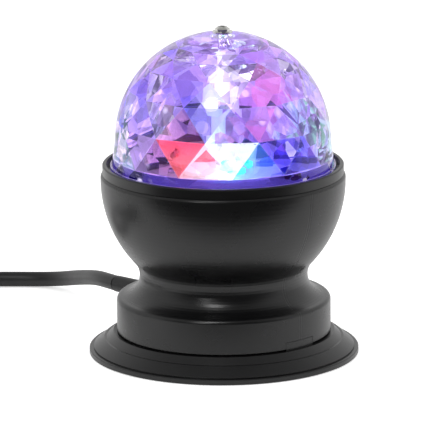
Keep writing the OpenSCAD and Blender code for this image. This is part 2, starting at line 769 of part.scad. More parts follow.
module drive_shaft() {
    low = z_base0 + 0.3;
    color("#c4c7ca") translate([0, 0, low])
        cylinder(d = shaft_d - 2 * run_fit, h = z_post0 + post_socket - low, $fn = fine);
}

// Gears

module gear_body(teeth, x, turn, z, w) {
    translate([0, 0, z]) linear_extrude(w) polygon(gear_outline(teeth, x, turn));
}

module output_gear() {
    hub_wall = 1;
    low = z_base1 + bush_flange + hub_gap;
    high = z_cover0 - bush_flange - hub_gap;
    color("#f0efe8") difference() {
        union() {
            gear_body(output_teeth, -shift, 0, levels[2], gear_w);
            translate([0, 0, low]) cylinder(r = shaft_d / 2 + hub_wall, h = high - low, $fn = fine);
        }
        translate([0, 0, low - 1]) cylinder(d = shaft_d, h = high - low + 2, $fn = fine);
    }
}

// Double gear: a wheel on one level and a pinion on the next, with hubs that reach both plates
module double_gear(place, level, turn) {
    low = z_base1 + hub_gap;
    high = z_cover0 - hub_gap;
    translate([place.x, place.y, 0]) difference() {
        union() {
            gear_body(wheel_teeth, -shift, 0, levels[level], gear_w);
            gear_body(pinion_teeth, shift, turn, levels[level] + gear_w / 2,
                gear_w / 2 + gear_level + tooth_over);
            translate([0, 0, low]) cylinder(r = hub_r, h = high - low, $fn = fine);
        }
        translate([0, 0, low - 1]) cylinder(d = pin_d + 2 * run_fit, h = high - low + 2, $fn = fine);
    }
}

module reduction_gear_1() {
    color("#f4d35e") double_gear(at_1, 0, phase_1);
}

module reduction_gear_2() {
    color("#ee964b") double_gear(at_2, 1, phase_2);
}

module gear_pin(place) {
    translate([place.x, place.y, z_base0]) cylinder(d = pin_d, h = z_cover1 - z_base0, $fn = fine);
}

module gear_1_pin() {
    color("#c4c7ca") gear_pin(at_1);
}

module gear_2_pin() {
    color("#c4c7ca") gear_pin(at_2);
}

// Gearbox plates and bushes

module pin_holes(z) {
    for (place = [at_1, at_2]) translate([place.x, place.y, z - 1])
        cylinder(d = pin_d, h = plate_t + 2, $fn = fine);
}

module gearbox_base() {
    pinion_room = 2;
    color("#4a4d52") difference() {
        union() {
            translate([0, 0, z_base0]) cylinder(d = gearbox_d, h = plate_t);
            ring_of(pillar_turns, pillar_at, z_base1 - eps)
                cylinder(r = pillar_r, h = gear_room + eps, $fn = fine);
        }
        translate([0, 0, z_base0 - 1]) cylinder(r = bush_r, h = plate_t + 2, $fn = fine);
        pin_holes(z_base0);
        translate([at_m.x, at_m.y, z_base0 - 1])
            cylinder(d = motor_shaft_d + 2 * pinion_room, h = plate_t + 2, $fn = fine);
        motor_fix(z_base0 - 1) cylinder(d = motor_fix_d + 2 * screw_play, h = plate_t + 2, $fn = fine);
        ring_of(pillar_turns, pillar_at, z_base1 + 1) cylinder(d = fix_d, h = gear_room, $fn = fine);
    }
}

module gearbox_cover() {
    color("#54575c") difference() {
        translate([0, 0, z_cover0]) cylinder(d = cover_d, h = plate_t);
        translate([0, 0, z_cover0 - 1]) cylinder(r = bush_r, h = plate_t + 2, $fn = fine);
        pin_holes(z_cover0);
        ring_of(pillar_turns, pillar_at, z_cover0 - 1)
            cylinder(d = fix_d + 2 * screw_play, h = plate_t + 2, $fn = fine);
        ring_of(deck_turns, deck_post_at, z_cover0 - 1)
            cylinder(d = fix_d + 2 * screw_play, h = plate_t + 2, $fn = fine);
        lead_slot(z_cover0 - 1, plate_t + 2);
    }
}

module gearbox_screws() {
    pillar_screw_l = 8;
    color("#8d9093") ring_of(pillar_turns, pillar_at, z_cover1)
        screw(fix_d, pillar_screw_l, fix_head_d, fix_head_h);
}

module hanger_screws() {
    hanger_screw_l = 7;
    color("#8d9093") ring_of(deck_turns, deck_post_at, z_cover0)
        mirror([0, 0, 1]) screw(fix_d, hanger_screw_l, fix_head_d, fix_head_h);
}

// Flanged bush with its flange towards +Z above z
module bush(z) {
    bush_rim = 0.9;
    translate([0, 0, z]) difference() {
        union() {
            translate([0, 0, -plate_t]) cylinder(r = bush_r, h = plate_t + eps, $fn = fine);
            cylinder(r = bush_r + bush_rim, h = bush_flange, $fn = fine);
        }
        translate([0, 0, -plate_t - 1]) cylinder(d = shaft_d, h = plate_t + bush_flange + 2, $fn = fine);
    }
}

module lower_bush() {
    color("#b08d57") bush(z_base1);
}

module upper_bush() {
    color("#b08d57") bush(z_cover1);
}

// Motor

module motor_fix(z) {
    for (side = [-1, 1]) translate([at_m.x, at_m.y + side * motor_fix_at, z]) children();
}

module motor_slice(z, h, play) {
    translate([at_m.x, at_m.y, z]) intersection() {
        cylinder(d = motor_d - play, h = h, $fn = fine);
        translate([-(motor_flat - play) / 2, -motor_d, 0]) cube([motor_flat - play, 2 * motor_d, h]);
    }
}

module motor_can() {
    bore_l = motor_shaft_in + 0.5;
    pilot_l = 4;
    color("#aeb1b5") difference() {
        motor_slice(z_base0 - motor_can_h, motor_can_h, 0);
        translate([at_m.x, at_m.y, z_base0 - bore_l])
            cylinder(d = motor_shaft_d + 2 * run_fit, h = bore_l + 1, $fn = fine);
        motor_fix(z_base0 - pilot_l) cylinder(d = motor_fix_d, h = pilot_l + 1, $fn = fine);
    }
}

module motor_cap() {
    color("#e8e6df") motor_slice(z_base0 - motor_can_h - motor_cap_h, motor_cap_h, motor_cap_inset);
}

module motor_screws() {
    head_d = 3.4;
    head_h = 0.6;
    grip = 3;
    color("#8d9093") motor_fix(z_base1) screw(motor_fix_d, plate_t + grip, head_d, head_h);
}

module motor_shaft() {
    low = z_base0 - motor_shaft_in;
    high = levels[0] + gear_w + 3 * tooth_over;
    color("#c4c7ca") translate([at_m.x, at_m.y, low])
        cylinder(d = motor_shaft_d, h = high - low, $fn = fine);
}

module motor_pinion() {
    color("#b08d57") translate([at_m.x, at_m.y, 0]) difference() {
        gear_body(pinion_teeth, shift, phase_m, levels[0] - tooth_over, gear_w + 2 * tooth_over);
        translate([0, 0, levels[0] - 1]) cylinder(d = motor_shaft_d + face_gap, h = gear_w + 3, $fn = fine);
    }
}

// Driver board in the drum

module driver_board() {
    color("#1f6b3a") difference() {
        translate([0, 0, z_board0]) cylinder(d = board_d, h = board_t);
        ring_of(board_turns, board_post_at, z_board0 - 1)
            cylinder(d = fix_d + 2 * screw_play, h = board_t + 2, $fn = fine);
    }
}

module board_screws() {
    grip = 3;
    color("#8d9093") ring_of(board_turns, board_post_at, z_board1)
        screw(fix_d, board_t + grip, fix_head_d, fix_head_h);
}

module on_board(p) {
    translate([p.x, p.y, z_board1]) children();
}

// Box that stands on z and has its middle over the origin
module box_on(size, z = 0) {
    translate([-size.x / 2, -size.y / 2, z]) cube(size);
}

module transformer() {
    core = [16, 7, 14];
    winding = [11, 14, 9];
    color("#c9a227") on_board([7, -7]) {
        box_on(core);
        box_on(winding, (core.z - winding.z) / 2);
    }
}

module electrolytics() {
    can_d = 8;
    can_h = 12;
    color("#23303f") for (place = [[13, 8], [4, 17]]) on_board(place)
        cylinder(d = can_d, h = can_h, $fn = fine);
}

module film_capacitor() {
    color("#b8352b") on_board([-9, -17]) box_on([13, 6, 10]);
}

module fuse() {
    tube_d = 4.8;
    tube_l = 16;
    color("#d8d2c0") on_board([-1, -24]) translate([-tube_l / 2, 0, tube_d / 2]) rotate([0, 90, 0])
        cylinder(d = tube_d, h = tube_l, $fn = fine);
}

module terminal_block() {
    hole_d = 3.8;
    floor_t = 3;
    color("#2f7d4f") on_board(terminal_at) difference() {
        box_on([4 * terminal_half, 7, terminal_h]);
        for (side = [-1, 1]) translate([side * terminal_half, 0, floor_t])
            cylinder(d = hole_d, h = terminal_h, $fn = fine);
    }
}

// Strain relief moulded on the cord, snapped into the drum's wall, and the leads inside

// Along its own axis: inner flange, waist in the wall, collar outside, short cone, slim sleeve
module strain_relief() {
    flange_t = 1.5;
    collar_t = 1.6;
    taper_l = 5;
    sleeve_d = cord_d + 0.8;
    sleeve_end_d = cord_d + 0.3;
    flange_at = relief_in - flange_t;
    collar_at = drum_r + seat;
    taper_at = collar_at + collar_t;
    sleeve_at = taper_at + taper_l;
    color("#1b1b1c") translate([0, 0, z_cord]) rotate([0, 90, cord_angle]) {
        translate([0, 0, flange_at]) cylinder(r = relief_lip_r, h = flange_t, $fn = fine);
        translate([0, 0, flange_at]) cylinder(d = relief_waist, h = taper_at - flange_at, $fn = fine);
        translate([0, 0, collar_at]) cylinder(d = relief_d, h = collar_t, $fn = fine);
        translate([0, 0, taper_at - eps])
            cylinder(d1 = relief_waist, d2 = sleeve_d, h = taper_l + eps, $fn = fine);
        translate([0, 0, sleeve_at - eps])
            cylinder(d1 = sleeve_d, d2 = sleeve_end_d, h = relief_end - sleeve_at + eps, $fn = fine);
    }
}

module lead_slot(z, h) {
    hole_d = lead_d + 2 * lead_room;
    last = len(lead_places) - 1;
    rotate(lead_turn) {
        for (across = lead_places) translate([lead_r, across, z]) cylinder(d = hole_d, h = h, $fn = fine);
        translate([lead_r - hole_d / 2, lead_places[0], z])
            cube([hole_d, lead_places[last] - lead_places[0], h]);
    }
}

// From the driver board up past the gearbox, through the plates' slots, to the LED board's edge
module led_leads() {
    board_at = board_d / 2 - 8;
    rise = z_led + lead_d / 2 + run_fit;
    color("#c8362e") rotate(lead_turn) for (across = lead_places) translate([0, across, 0]) tube([
        [board_at, 0, z_board1], [board_at, 0, z_board1 + 3], [board_at + 1.5, 0, z_board1 + 9],
        [board_at + 3, 0, (z_board1 + z_base0) / 2], [board_at + 5, 0, z_base0 - 5],
        [gearbox_d / 2 + 2, 0, z_base0 - 2], [lead_r, 0, z_base1 + 4], [lead_r, 0, z_cover1],
        [lead_r, 0, z_deck1], [lead_r - 0.5, 0, rise - 0.6], [lead_r - 1.6, 0, rise],
        [led_board_d / 2 - 1.5, 0, rise]], lead_d, lead_sides, [0, 1, 0]);
}

// From the strain relief's inner end over to the terminal's two holes, and down into them
module mains_leads() {
    apart = 1.2;
    start = relief_in - 1.5;
    neck_in = neck_r - housing_wall;
    bend_in = 0.5;
    bend_turn = cord_angle - 9;
    over_in = 3;
    over_turn = atan2(terminal_at.y, terminal_at.x) + 5.7;
    top = z_board1 + terminal_h;
    color("#7a4a2a") for (side = [-1, 1])
        let (in_hole = [terminal_at.x + side * terminal_half, terminal_at.y, top],
             beside = [side * apart, side * apart, z_cord])
        tube([
            polar3(start, cord_angle) + beside, polar3(start - 1.5, cord_angle) + beside,
            polar3(neck_in - bend_in + side, bend_turn - side * 2.5) + [0, 0, z_cord + 5 + side * apart],
            polar3(neck_in - over_in + side * 0.4, over_turn - side * 6.6) + [0, 0, top + 3.8 + side * 1.4],
            in_hole + [-0.3, 0.2, 3],
            in_hole + [0, 0, 1.2], in_hole - [0, 0, 1], in_hole - [0, 0, 4]],
            mains_lead_d, lead_sides, [0.1, 1, 0.1]);
}

// From the flat side of the motor's end cap out and down to the driver board
module motor_leads() {
    apart = 2.5;
    out = at_m.x + (motor_flat - motor_cap_inset) / 2;
    tab_z = z_base0 - motor_can_h - motor_cap_h / 2;
    color("#333a8c") for (side = [-1, 1]) translate([out, at_m.y + side * apart, 0]) tube([
        [0, 0, tab_z], [0.6, 0, tab_z], [1.3, 0, tab_z - 0.5], [1.7, 0, tab_z - 1.2], [1.7, 0, z_board1]],
        lead_d, lead_sides, [0, 1, 0]);
}

// Cord, tie and plug

module cord_run() {
    color("#1c1c1d") tube(run_route, cord_d, 12);
}

module cord_coil() {
    color("#1c1c1d") tube(coil_path, cord_d, 6);
}

module cord_tail() {
    color("#1c1c1d") tube(tail_route, cord_d, 12);
}

module cord_tie() {
    turn = 300;
    past = (turn - 90) / 360;
    slack = 0.5;
    near = coil_r - coil_pitch * (coil_turns / 2 - 1 + past) - cord_r - slack;
    far = coil_r - coil_pitch * min(past, 1 - past) + cord_r + slack;
    high = coil_z[1] + cord_r + tie_play + 0.1;
    color("#e8e8e4") translate([coil_at.x, coil_at.y, 0]) rotate(turn) difference() {
        translate([near - tie_t, -tie_w / 2, 0]) cube([far - near + 2 * tie_t, tie_w, high + tie_t]);
        translate([near, -tie_w, tie_t]) cube([far - near, 2 * tie_w, high - tie_t]);
    }
}

module plug_body() {
    edge = [[2, 5.2], [10, 6.5], [17, plug_w / 2], [plug_l - 5, plug_w / 2], [plug_l, plug_w / 2 - 4]];
    last = len(edge) - 1;
    color("#1c1c1d") translate(plug_at) rotate(plug_turn) {
        translate([0, 0, -plug_t / 2]) linear_extrude(plug_t) polygon(concat(
            [for (p = edge) [p.x, -p.y]], [for (i = [last:-1:0]) edge[i]]));
        rotate([0, 90, 0]) cylinder(d1 = cord_d + 1.2, d2 = 9, h = 6, $fn = fine);
    }
}

module plug_pins() {
    color("#c4c7ca") for (side = [-1, 1]) translate(plug_at) rotate(plug_turn)
        translate([plug_l, side * plug_pin_space / 2, 0]) rotate([0, 90, 0]) {
            cylinder(d = plug_pin_d, h = plug_pin_l - plug_pin_d / 2, $fn = fine);
            translate([0, 0, plug_pin_l - plug_pin_d / 2]) sphere(d = plug_pin_d, $fn = fine);
        }
}

foot_base();
foot_pad();
foot_screws();
housing();
rim_ring();
light_deck();
deck_screws();
heat_sink();
led_board();
led_screws();
led_red();
led_green();
led_blue();
led_lenses();
dome();
dome_washer();
dome_screw();
centre_post();
drive_shaft();
output_gear();
gearbox_base();
gearbox_cover();
gearbox_screws();
hanger_screws();
lower_bush();
upper_bush();
reduction_gear_1();
gear_1_pin();
reduction_gear_2();
gear_2_pin();
motor_can();
motor_cap();
motor_screws();
motor_shaft();
motor_pinion();
driver_board();
board_screws();
transformer();
electrolytics();
film_capacitor();
fuse();
terminal_block();
strain_relief();
mains_leads();
led_leads();
motor_leads();
cord_run();
cord_coil();
cord_tail();
cord_tie();
plug_body();
plug_pins();
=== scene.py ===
import math

import bpy
import numpy as np
from mathutils import Matrix, Vector


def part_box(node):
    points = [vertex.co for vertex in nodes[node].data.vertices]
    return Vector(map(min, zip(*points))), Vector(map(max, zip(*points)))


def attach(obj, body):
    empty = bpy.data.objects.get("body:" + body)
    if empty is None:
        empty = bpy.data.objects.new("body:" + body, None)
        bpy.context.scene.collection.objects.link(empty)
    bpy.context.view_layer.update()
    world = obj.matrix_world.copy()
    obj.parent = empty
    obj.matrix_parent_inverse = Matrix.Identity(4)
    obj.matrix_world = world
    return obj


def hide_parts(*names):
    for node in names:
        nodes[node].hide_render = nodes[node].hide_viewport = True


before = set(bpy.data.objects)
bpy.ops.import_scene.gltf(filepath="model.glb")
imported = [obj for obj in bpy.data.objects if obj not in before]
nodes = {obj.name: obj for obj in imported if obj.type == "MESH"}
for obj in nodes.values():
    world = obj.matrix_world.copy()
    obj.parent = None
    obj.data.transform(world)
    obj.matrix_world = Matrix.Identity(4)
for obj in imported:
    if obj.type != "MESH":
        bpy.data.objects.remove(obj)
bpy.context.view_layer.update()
mm = 0.001


# Studio: a white table that runs into a white surround, soft lamps above and beside it, two smaller
# ones to the front left that the gloss mirrors, a darker room on the camera's side, and a long lens
# about fourteen degrees above the table.
scene = bpy.context.scene
scene.view_settings.view_transform = "Standard"
camera_stands = Vector((-3.8, -1842.0, 495.2)) * mm
camera_aims_at = Vector((-3.8, 0.0, 52.36)) * mm
camera_lens = 434.9
camera_roll = -0.0058
table_size = 8.0
camera_reach = 4 * table_size
table_drop = 0.05 * mm
table_white = (0.86, 0.86, 0.86, 1.0)
table_lift = 0.58
table_bent = 0.2
table_fades = (-60 * mm, -165 * mm)
room_dark = 0.05
surround_light = 0.5
surround_through = 0.65
surround_front = (-0.85, -0.05)
surround_high = (0.5, 0.95)
overhead_light = 0.5
soft_lamps = {
    "top_lamp": {"place": (0.0, 0.1, 1.3), "size": 0.9, "power": 5.4, "mirrored": False},
    "left_lamp": {"place": (-0.9, -0.6, 0.8), "size": 0.6, "power": 4.0, "mirrored": False},
    "right_lamp": {"place": (0.9, -0.6, 0.8), "size": 0.6, "power": 4.0, "mirrored": False},
    "front_lamp": {"place": (-0.23, -0.8, 1.0), "size": 0.36, "power": 2.6, "mirrored": True},
    "low_lamp": {"place": (-0.47, -1.07, 0.57), "size": 0.3, "power": 1.2, "mirrored": True}}


def put(tree, socket, value):
    """Links another node's output to the socket, or sets the value on it."""
    if isinstance(value, bpy.types.NodeSocket):
        tree.links.new(value, socket)
    else:
        socket.default_value = value


def add(tree, kind, sockets=None, **settings):
    """One shader node: settings are its own choices, sockets its inputs, each a value or a link."""
    node = tree.nodes.new(kind)
    for name, value in settings.items():
        setattr(node, name, value)
    for name, value in (sockets or {}).items():
        put(tree, node.inputs[name], value)
    return node


def reckon(tree, operation, *values):
    """One step of arithmetic on values or links; gives its result."""
    node = add(tree, "ShaderNodeMath", operation=operation)
    for socket, value in zip(node.inputs, values):
        put(tree, socket, value)
    return node.outputs["Value"]


def between(tree, value, low, high):
    """An even run: low where the value is nought, high where it is one."""
    run = add(tree, "ShaderNodeMapRange", {"Value": value, "To Min": low, "To Max": high})
    return run.outputs["Result"]


def spread(tree, value, start, end, low=0.0, high=1.0):
    """A smooth step: low where the value is at start, high where it is at end."""
    step = add(tree, "ShaderNodeMapRange", {
        "Value": value, "From Min": start, "From Max": end, "To Min": low, "To Max": high})
    step.interpolation_type = "SMOOTHSTEP"
    return step.outputs["Result"]


def mix_colour(tree, factor, first, second):
    """The first colour where the factor is nought, the second where it is one."""
    node = add(tree, "ShaderNodeMix", {"Factor": factor}, data_type="RGBA")
    colours = [socket for socket in node.inputs if socket.type == "RGBA"]
    put(tree, colours[0], first)
    put(tree, colours[1], second)
    return [socket for socket in node.outputs if socket.type == "RGBA"][0]


def mirrored_only(path, tree):
    """One for a ray that a surface mirrors, nought for one that goes through clear plastic."""
    glossy = path.outputs["Is Glossy Ray"]
    through = path.outputs["Is Transmission Ray"]
    return reckon(tree, "GREATER_THAN", reckon(tree, "SUBTRACT", glossy, through), 0.0)


def make_camera():
    """The camera's axes: forward to its aim, right level with the table, both rolled about forward."""
    forward = (camera_aims_at - camera_stands).normalized()
    level = forward.cross(Vector((0, 0, 1))).normalized()
    upright = level.cross(forward)
    right = level * math.cos(camera_roll) + upright * math.sin(camera_roll)
    up = upright * math.cos(camera_roll) - level * math.sin(camera_roll)
    camera = bpy.data.objects.new("camera", bpy.data.cameras.new("camera"))
    camera.matrix_world = Matrix((right, up, -forward)).transposed().to_4x4()
    camera.location = camera_stands
    camera.data.lens = camera_lens
    camera.data.clip_end = camera_reach
    scene.collection.objects.link(camera)
    scene.camera = camera


def make_table():
    """A flat white square, lifted a little towards white where it is seen; in mirrored rays it fades
    to the dark of the room in front."""
    half = table_size / 2
    corners = [(-half, -half), (half, -half), (half, half), (-half, half)]
    mesh = bpy.data.meshes.new("table")
    mesh.from_pydata([(x, y, -table_drop) for x, y in corners], [], [(0, 1, 2, 3)])
    table = bpy.data.objects.new("table", mesh)
    scene.collection.objects.link(table)
    material = bpy.data.materials.new("table_white")
    material.use_nodes = True
    tree = material.node_tree
    tree.nodes.clear()
    path = add(tree, "ShaderNodeLightPath")
    bent = reckon(tree, "MAXIMUM", path.outputs["Is Transmission Ray"], path.outputs["Is Glossy Ray"])
    lift = reckon(tree, "ADD", reckon(tree, "MULTIPLY", path.outputs["Is Camera Ray"], table_lift),
                  reckon(tree, "MULTIPLY", bent, table_bent))
    matt = add(tree, "ShaderNodeBsdfDiffuse", {"Color": table_white})
    glow = add(tree, "ShaderNodeEmission", {"Strength": lift})
    white = add(tree, "ShaderNodeAddShader", {0: matt.outputs["BSDF"], 1: glow.outputs["Emission"]})
    dark = add(tree, "ShaderNodeEmission", {"Strength": room_dark})
    place = add(tree, "ShaderNodeTexCoord")
    along = add(tree, "ShaderNodeSeparateXYZ", {"Vector": place.outputs["Object"]})
    far = spread(tree, along.outputs["Y"], *table_fades)
    fade = reckon(tree, "MULTIPLY", far, mirrored_only(path, tree))
    both = add(tree, "ShaderNodeMixShader", {
        0: fade, 1: white.outputs["Shader"], 2: dark.outputs["Emission"]})
    add(tree, "ShaderNodeOutputMaterial", {"Surface": both.outputs["Shader"]})
    mesh.materials.append(material)


def make_surround():
    """White where it is seen, dimmer where it lights the object; in mirrored rays dark to the front
    and dimmer overhead."""
    world = bpy.data.worlds.new("surround")
    world.use_nodes = True
    tree = world.node_tree
    tree.nodes.clear()
    path = add(tree, "ShaderNodeLightPath")
    way = add(tree, "ShaderNodeTexCoord")
    along = add(tree, "ShaderNodeSeparateXYZ", {"Vector": way.outputs["Generated"]})
    front = spread(tree, along.outputs["Y"], *surround_front, room_dark, 1.0)
    high = spread(tree, along.outputs["Z"], *surround_high, 1.0, overhead_light)
    mirrored = reckon(tree, "MULTIPLY", front, high)
    through = reckon(tree, "MULTIPLY", path.outputs["Is Transmission Ray"], surround_through)
    seen = reckon(tree, "MAXIMUM", path.outputs["Is Camera Ray"], through)
    lit = between(tree, seen, surround_light, 1.0)
    shown = between(tree, mirrored_only(path, tree), lit, mirrored)
    sky = add(tree, "ShaderNodeBackground", {"Strength": shown})
    add(tree, "ShaderNodeOutputWorld", {"Surface": sky.outputs["Background"]})
    scene.world = world


def make_soft_lamp(name, place, size, power, mirrored):
    """A round soft box at a place, turned to the middle of the object."""
    light = bpy.data.lights.new(name, "AREA")
    light.shape = "DISK"
    light.size = size
    light.energy = power
    lamp = bpy.data.objects.new(name, light)
    lamp.location = place
    lamp.rotation_mode = "QUATERNION"
    lamp.rotation_quaternion = (camera_aims_at - lamp.location).to_track_quat("-Z", "Y")
    lamp.visible_glossy = mirrored
    scene.collection.objects.link(lamp)


make_camera()
make_table()
make_surround()
for name, settings in soft_lamps.items():
    make_soft_lamp(name, **settings)


# Foot: a round black flange with a sloped skirt and a raised lip, moulded in one piece with the
# key tab that stands in the drum's notch. Four screws from below hold it to the drum, and a
# rubber ring lies in a groove under its rim.
black_plastic = (0.0035, 0.0035, 0.0038, 1.0)
black_rubber = (0.006, 0.006, 0.006, 1.0)
zinc_plate = (0.62, 0.63, 0.64, 1.0)
grain_size = 0.3 * mm
grain_depth = 0.012 * mm
mottle_size = 14 * mm
mottle_part = 0.25
mottle_rough = (0.88, 1.12)
brush_size = 0.25 * mm
brush_stretch = 12.0
brush_depth = 0.004 * mm
brush_part = 0.12
brush_rough = (0.8, 1.3)


def open_socket(group, name, kind, way, value=None):
    """One named input or output of a node group."""
    made = group.interface.new_socket(name, in_out=way, socket_type=kind)
    if value is not None:
        made.default_value = value


def grain_group():
    """Moulded skin: fine noise is the height of the grain, broad noise is where the skin is lighter."""
    group = bpy.data.node_groups.new("moulded_grain", "ShaderNodeTree")
    open_socket(group, "Vector", "NodeSocketVector", "INPUT")
    open_socket(group, "Grain", "NodeSocketFloat", "INPUT", 1 / grain_size)
    open_socket(group, "Height", "NodeSocketFloat", "OUTPUT")
    open_socket(group, "Patch", "NodeSocketFloat", "OUTPUT")
    enter = add(group, "NodeGroupInput")
    place = enter.outputs["Vector"]
    fine = add(group, "ShaderNodeTexNoise", {"Vector": place, "Scale": enter.outputs["Grain"]})
    broad = add(group, "ShaderNodeTexNoise", {"Vector": place, "Scale": 1 / mottle_size})
    add(group, "NodeGroupOutput", {"Height": fine.outputs["Fac"], "Patch": broad.outputs["Fac"]})
    return group


def brush_group():
    """Drawn or turned metal: noise squeezed across the brushing and stretched along the part's axis."""
    group = bpy.data.node_groups.new("brushed_lines", "ShaderNodeTree")
    open_socket(group, "Vector", "NodeSocketVector", "INPUT")
    open_socket(group, "Line", "NodeSocketFloat", "OUTPUT")
    enter = add(group, "NodeGroupInput")
    stretch = add(group, "ShaderNodeMapping", {
        "Vector": enter.outputs["Vector"], "Scale": (1.0, 1.0, 1 / brush_stretch)})
    line = add(group, "ShaderNodeTexNoise", {
        "Vector": stretch.outputs["Vector"], "Scale": 1 / brush_size})
    add(group, "NodeGroupOutput", {"Line": line.outputs["Fac"]})
    return group


moulded_grain = grain_group()
brushed_lines = brush_group()


def new_material(name):
    """An empty material with one Principled shader on its output; gives it, its tree and the shader."""
    material = bpy.data.materials.new(name)
    material.use_nodes = True
    tree = material.node_tree
    tree.nodes.clear()
    shader = add(tree, "ShaderNodeBsdfPrincipled")
    add(tree, "ShaderNodeOutputMaterial", {"Surface": shader.outputs["BSDF"]})
    return material, tree, shader


def shades(colour, part):
    """The same colour a part darker and a part lighter."""
    return [tuple(min(1.0, c * k) for c in colour[:3]) + (1.0,) for k in (1 - part, 1 + part)]


def moulded_skin(name, colour, roughness, depth=grain_depth, size=grain_size, part=mottle_part):
    """Moulded plastic or rubber: the grain is its bump, broad patches change its colour and roughness.
    Gives the material, its tree and its shader."""
    material, tree, shader = new_material(name)
    place = add(tree, "ShaderNodeTexCoord")
    skin = add(tree, "ShaderNodeGroup", node_tree=moulded_grain)
    put(tree, skin.inputs["Vector"], place.outputs["Object"])
    put(tree, skin.inputs["Grain"], 1 / size)
    patch = skin.outputs["Patch"]
    low, high = mottle_rough
    put(tree, shader.inputs["Base Color"], mix_colour(tree, patch, *shades(colour, part)))
    put(tree, shader.inputs["Roughness"], between(tree, patch, roughness * low, roughness * high))
    bump = add(tree, "ShaderNodeBump", {"Distance": depth, "Height": skin.outputs["Height"]})
    put(tree, shader.inputs["Normal"], bump.outputs["Normal"])
    return material, tree, shader


def moulded(name, colour, roughness, **skin):
    """Plain moulded plastic or rubber, as a material alone."""
    return moulded_skin(name, colour, roughness, **skin)[0]


def metal(name, colour, roughness, depth=brush_depth):
    """Drawn, turned or plated metal: the brushed lines change its colour, roughness and height."""
    material, tree, shader = new_material(name)
    place = add(tree, "ShaderNodeTexCoord")
    brush = add(tree, "ShaderNodeGroup", node_tree=brushed_lines)
    put(tree, brush.inputs["Vector"], place.outputs["Object"])
    line = brush.outputs["Line"]
    low, high = brush_rough
    put(tree, shader.inputs["Base Color"], mix_colour(tree, line, *shades(colour, brush_part)))
    put(tree, shader.inputs["Roughness"], between(tree, line, roughness * low, roughness * high))
    bump = add(tree, "ShaderNodeBump", {"Distance": depth, "Height": line})
    put(tree, shader.inputs["Normal"], bump.outputs["Normal"])
    shader.inputs["Metallic"].default_value = 1.0
    return material


def cover(material, *names):
    """These CAD nodes' own meshes take this material."""
    for name in names:
        nodes[name].data.materials.clear()
        nodes[name].data.materials.append(material)


satin_black = moulded("satin_black", black_plastic, roughness=0.3)
matt_rubber = moulded("matt_rubber", black_rubber, roughness=0.75, depth=0.03 * mm, size=0.5 * mm)
zinc_steel = metal("zinc_steel", zinc_plate, roughness=0.32)
cover(satin_black, "foot_base")
cover(matt_rubber, "foot_pad")
cover(zinc_steel, "foot_screws")


# Housing: one black moulding, drum, hollow neck and bowl, with the two fine lines of the mould's parting
# down the front right and behind. The rim ring with its collar is pushed into the bowl's mouth.
parting_turn = math.radians(-45)
parting_aside = 0.55 * mm
parting_line = (0.05 * mm, 0.16 * mm)
parting_depth = 0.06 * mm


def parted(name, colour, roughness):
    """Moulded plastic with the parting lines: grooves where the distance from the upright plane through
    the axis comes to half the space between the two lines."""
    material, tree, shader = moulded_skin(name, colour, roughness)
    place = add(tree, "ShaderNodeTexCoord")
    across = (-math.sin(parting_turn), math.cos(parting_turn), 0.0)
    side = add(tree, "ShaderNodeVectorMath", {
        0: place.outputs["Object"], 1: across}, operation="DOT_PRODUCT")
    aside = reckon(tree, "ABSOLUTE", side.outputs["Value"])
    off = reckon(tree, "ABSOLUTE", reckon(tree, "SUBTRACT", aside, parting_aside))
    groove = spread(tree, off, *parting_line)
    grain = shader.inputs["Normal"].links[0].from_socket
    cut = add(tree, "ShaderNodeBump", {"Distance": parting_depth, "Height": groove, "Normal": grain})
    put(tree, shader.inputs["Normal"], cut.outputs["Normal"])
    return material


cover(parted("housing_black", black_plastic, roughness=0.28), "housing")
cover(satin_black, "rim_ring")


# Driver board: a round green board on the foot's four posts, with transformer, capacitors, fuse and
# terminal, and the leads to it. None of it is seen from outside.
board_green = (0.02, 0.16, 0.06, 1.0)
board_tracks = (0.05, 0.26, 0.11, 1.0)
winding_tape = (0.5, 0.32, 0.05, 1.0)
sleeve_blue = (0.03, 0.04, 0.06, 1.0)
dip_red = (0.45, 0.05, 0.03, 1.0)
tube_ivory = (0.8, 0.78, 0.7, 1.0)
block_green = (0.04, 0.22, 0.09, 1.0)
mains_brown = (0.2, 0.07, 0.03, 1.0)
led_lead_red = (0.1, 0.015, 0.02, 1.0)
motor_lead_blue = (0.04, 0.05, 0.3, 1.0)
lead_rough = 0.45
track_space = 4 * mm
track_edge = (0.05, 0.02)
track_proud = 0.03 * mm
mask_rough = 0.3


def circuit_board(name, mask, tracks):
    """Solder mask over copper: the edges of a cell pattern are the tracks, lighter and a little proud."""
    material, tree, shader = new_material(name)
    place = add(tree, "ShaderNodeTexCoord")
    cells = add(tree, "ShaderNodeTexVoronoi", {
        "Vector": place.outputs["Object"], "Scale": 1 / track_space}, feature="DISTANCE_TO_EDGE")
    track = spread(tree, cells.outputs["Distance"], *track_edge)
    put(tree, shader.inputs["Base Color"], mix_colour(tree, track, mask, tracks))
    bump = add(tree, "ShaderNodeBump", {"Distance": track_proud, "Height": track})
    put(tree, shader.inputs["Normal"], bump.outputs["Normal"])
    shader.inputs["Roughness"].default_value = mask_rough
    return material


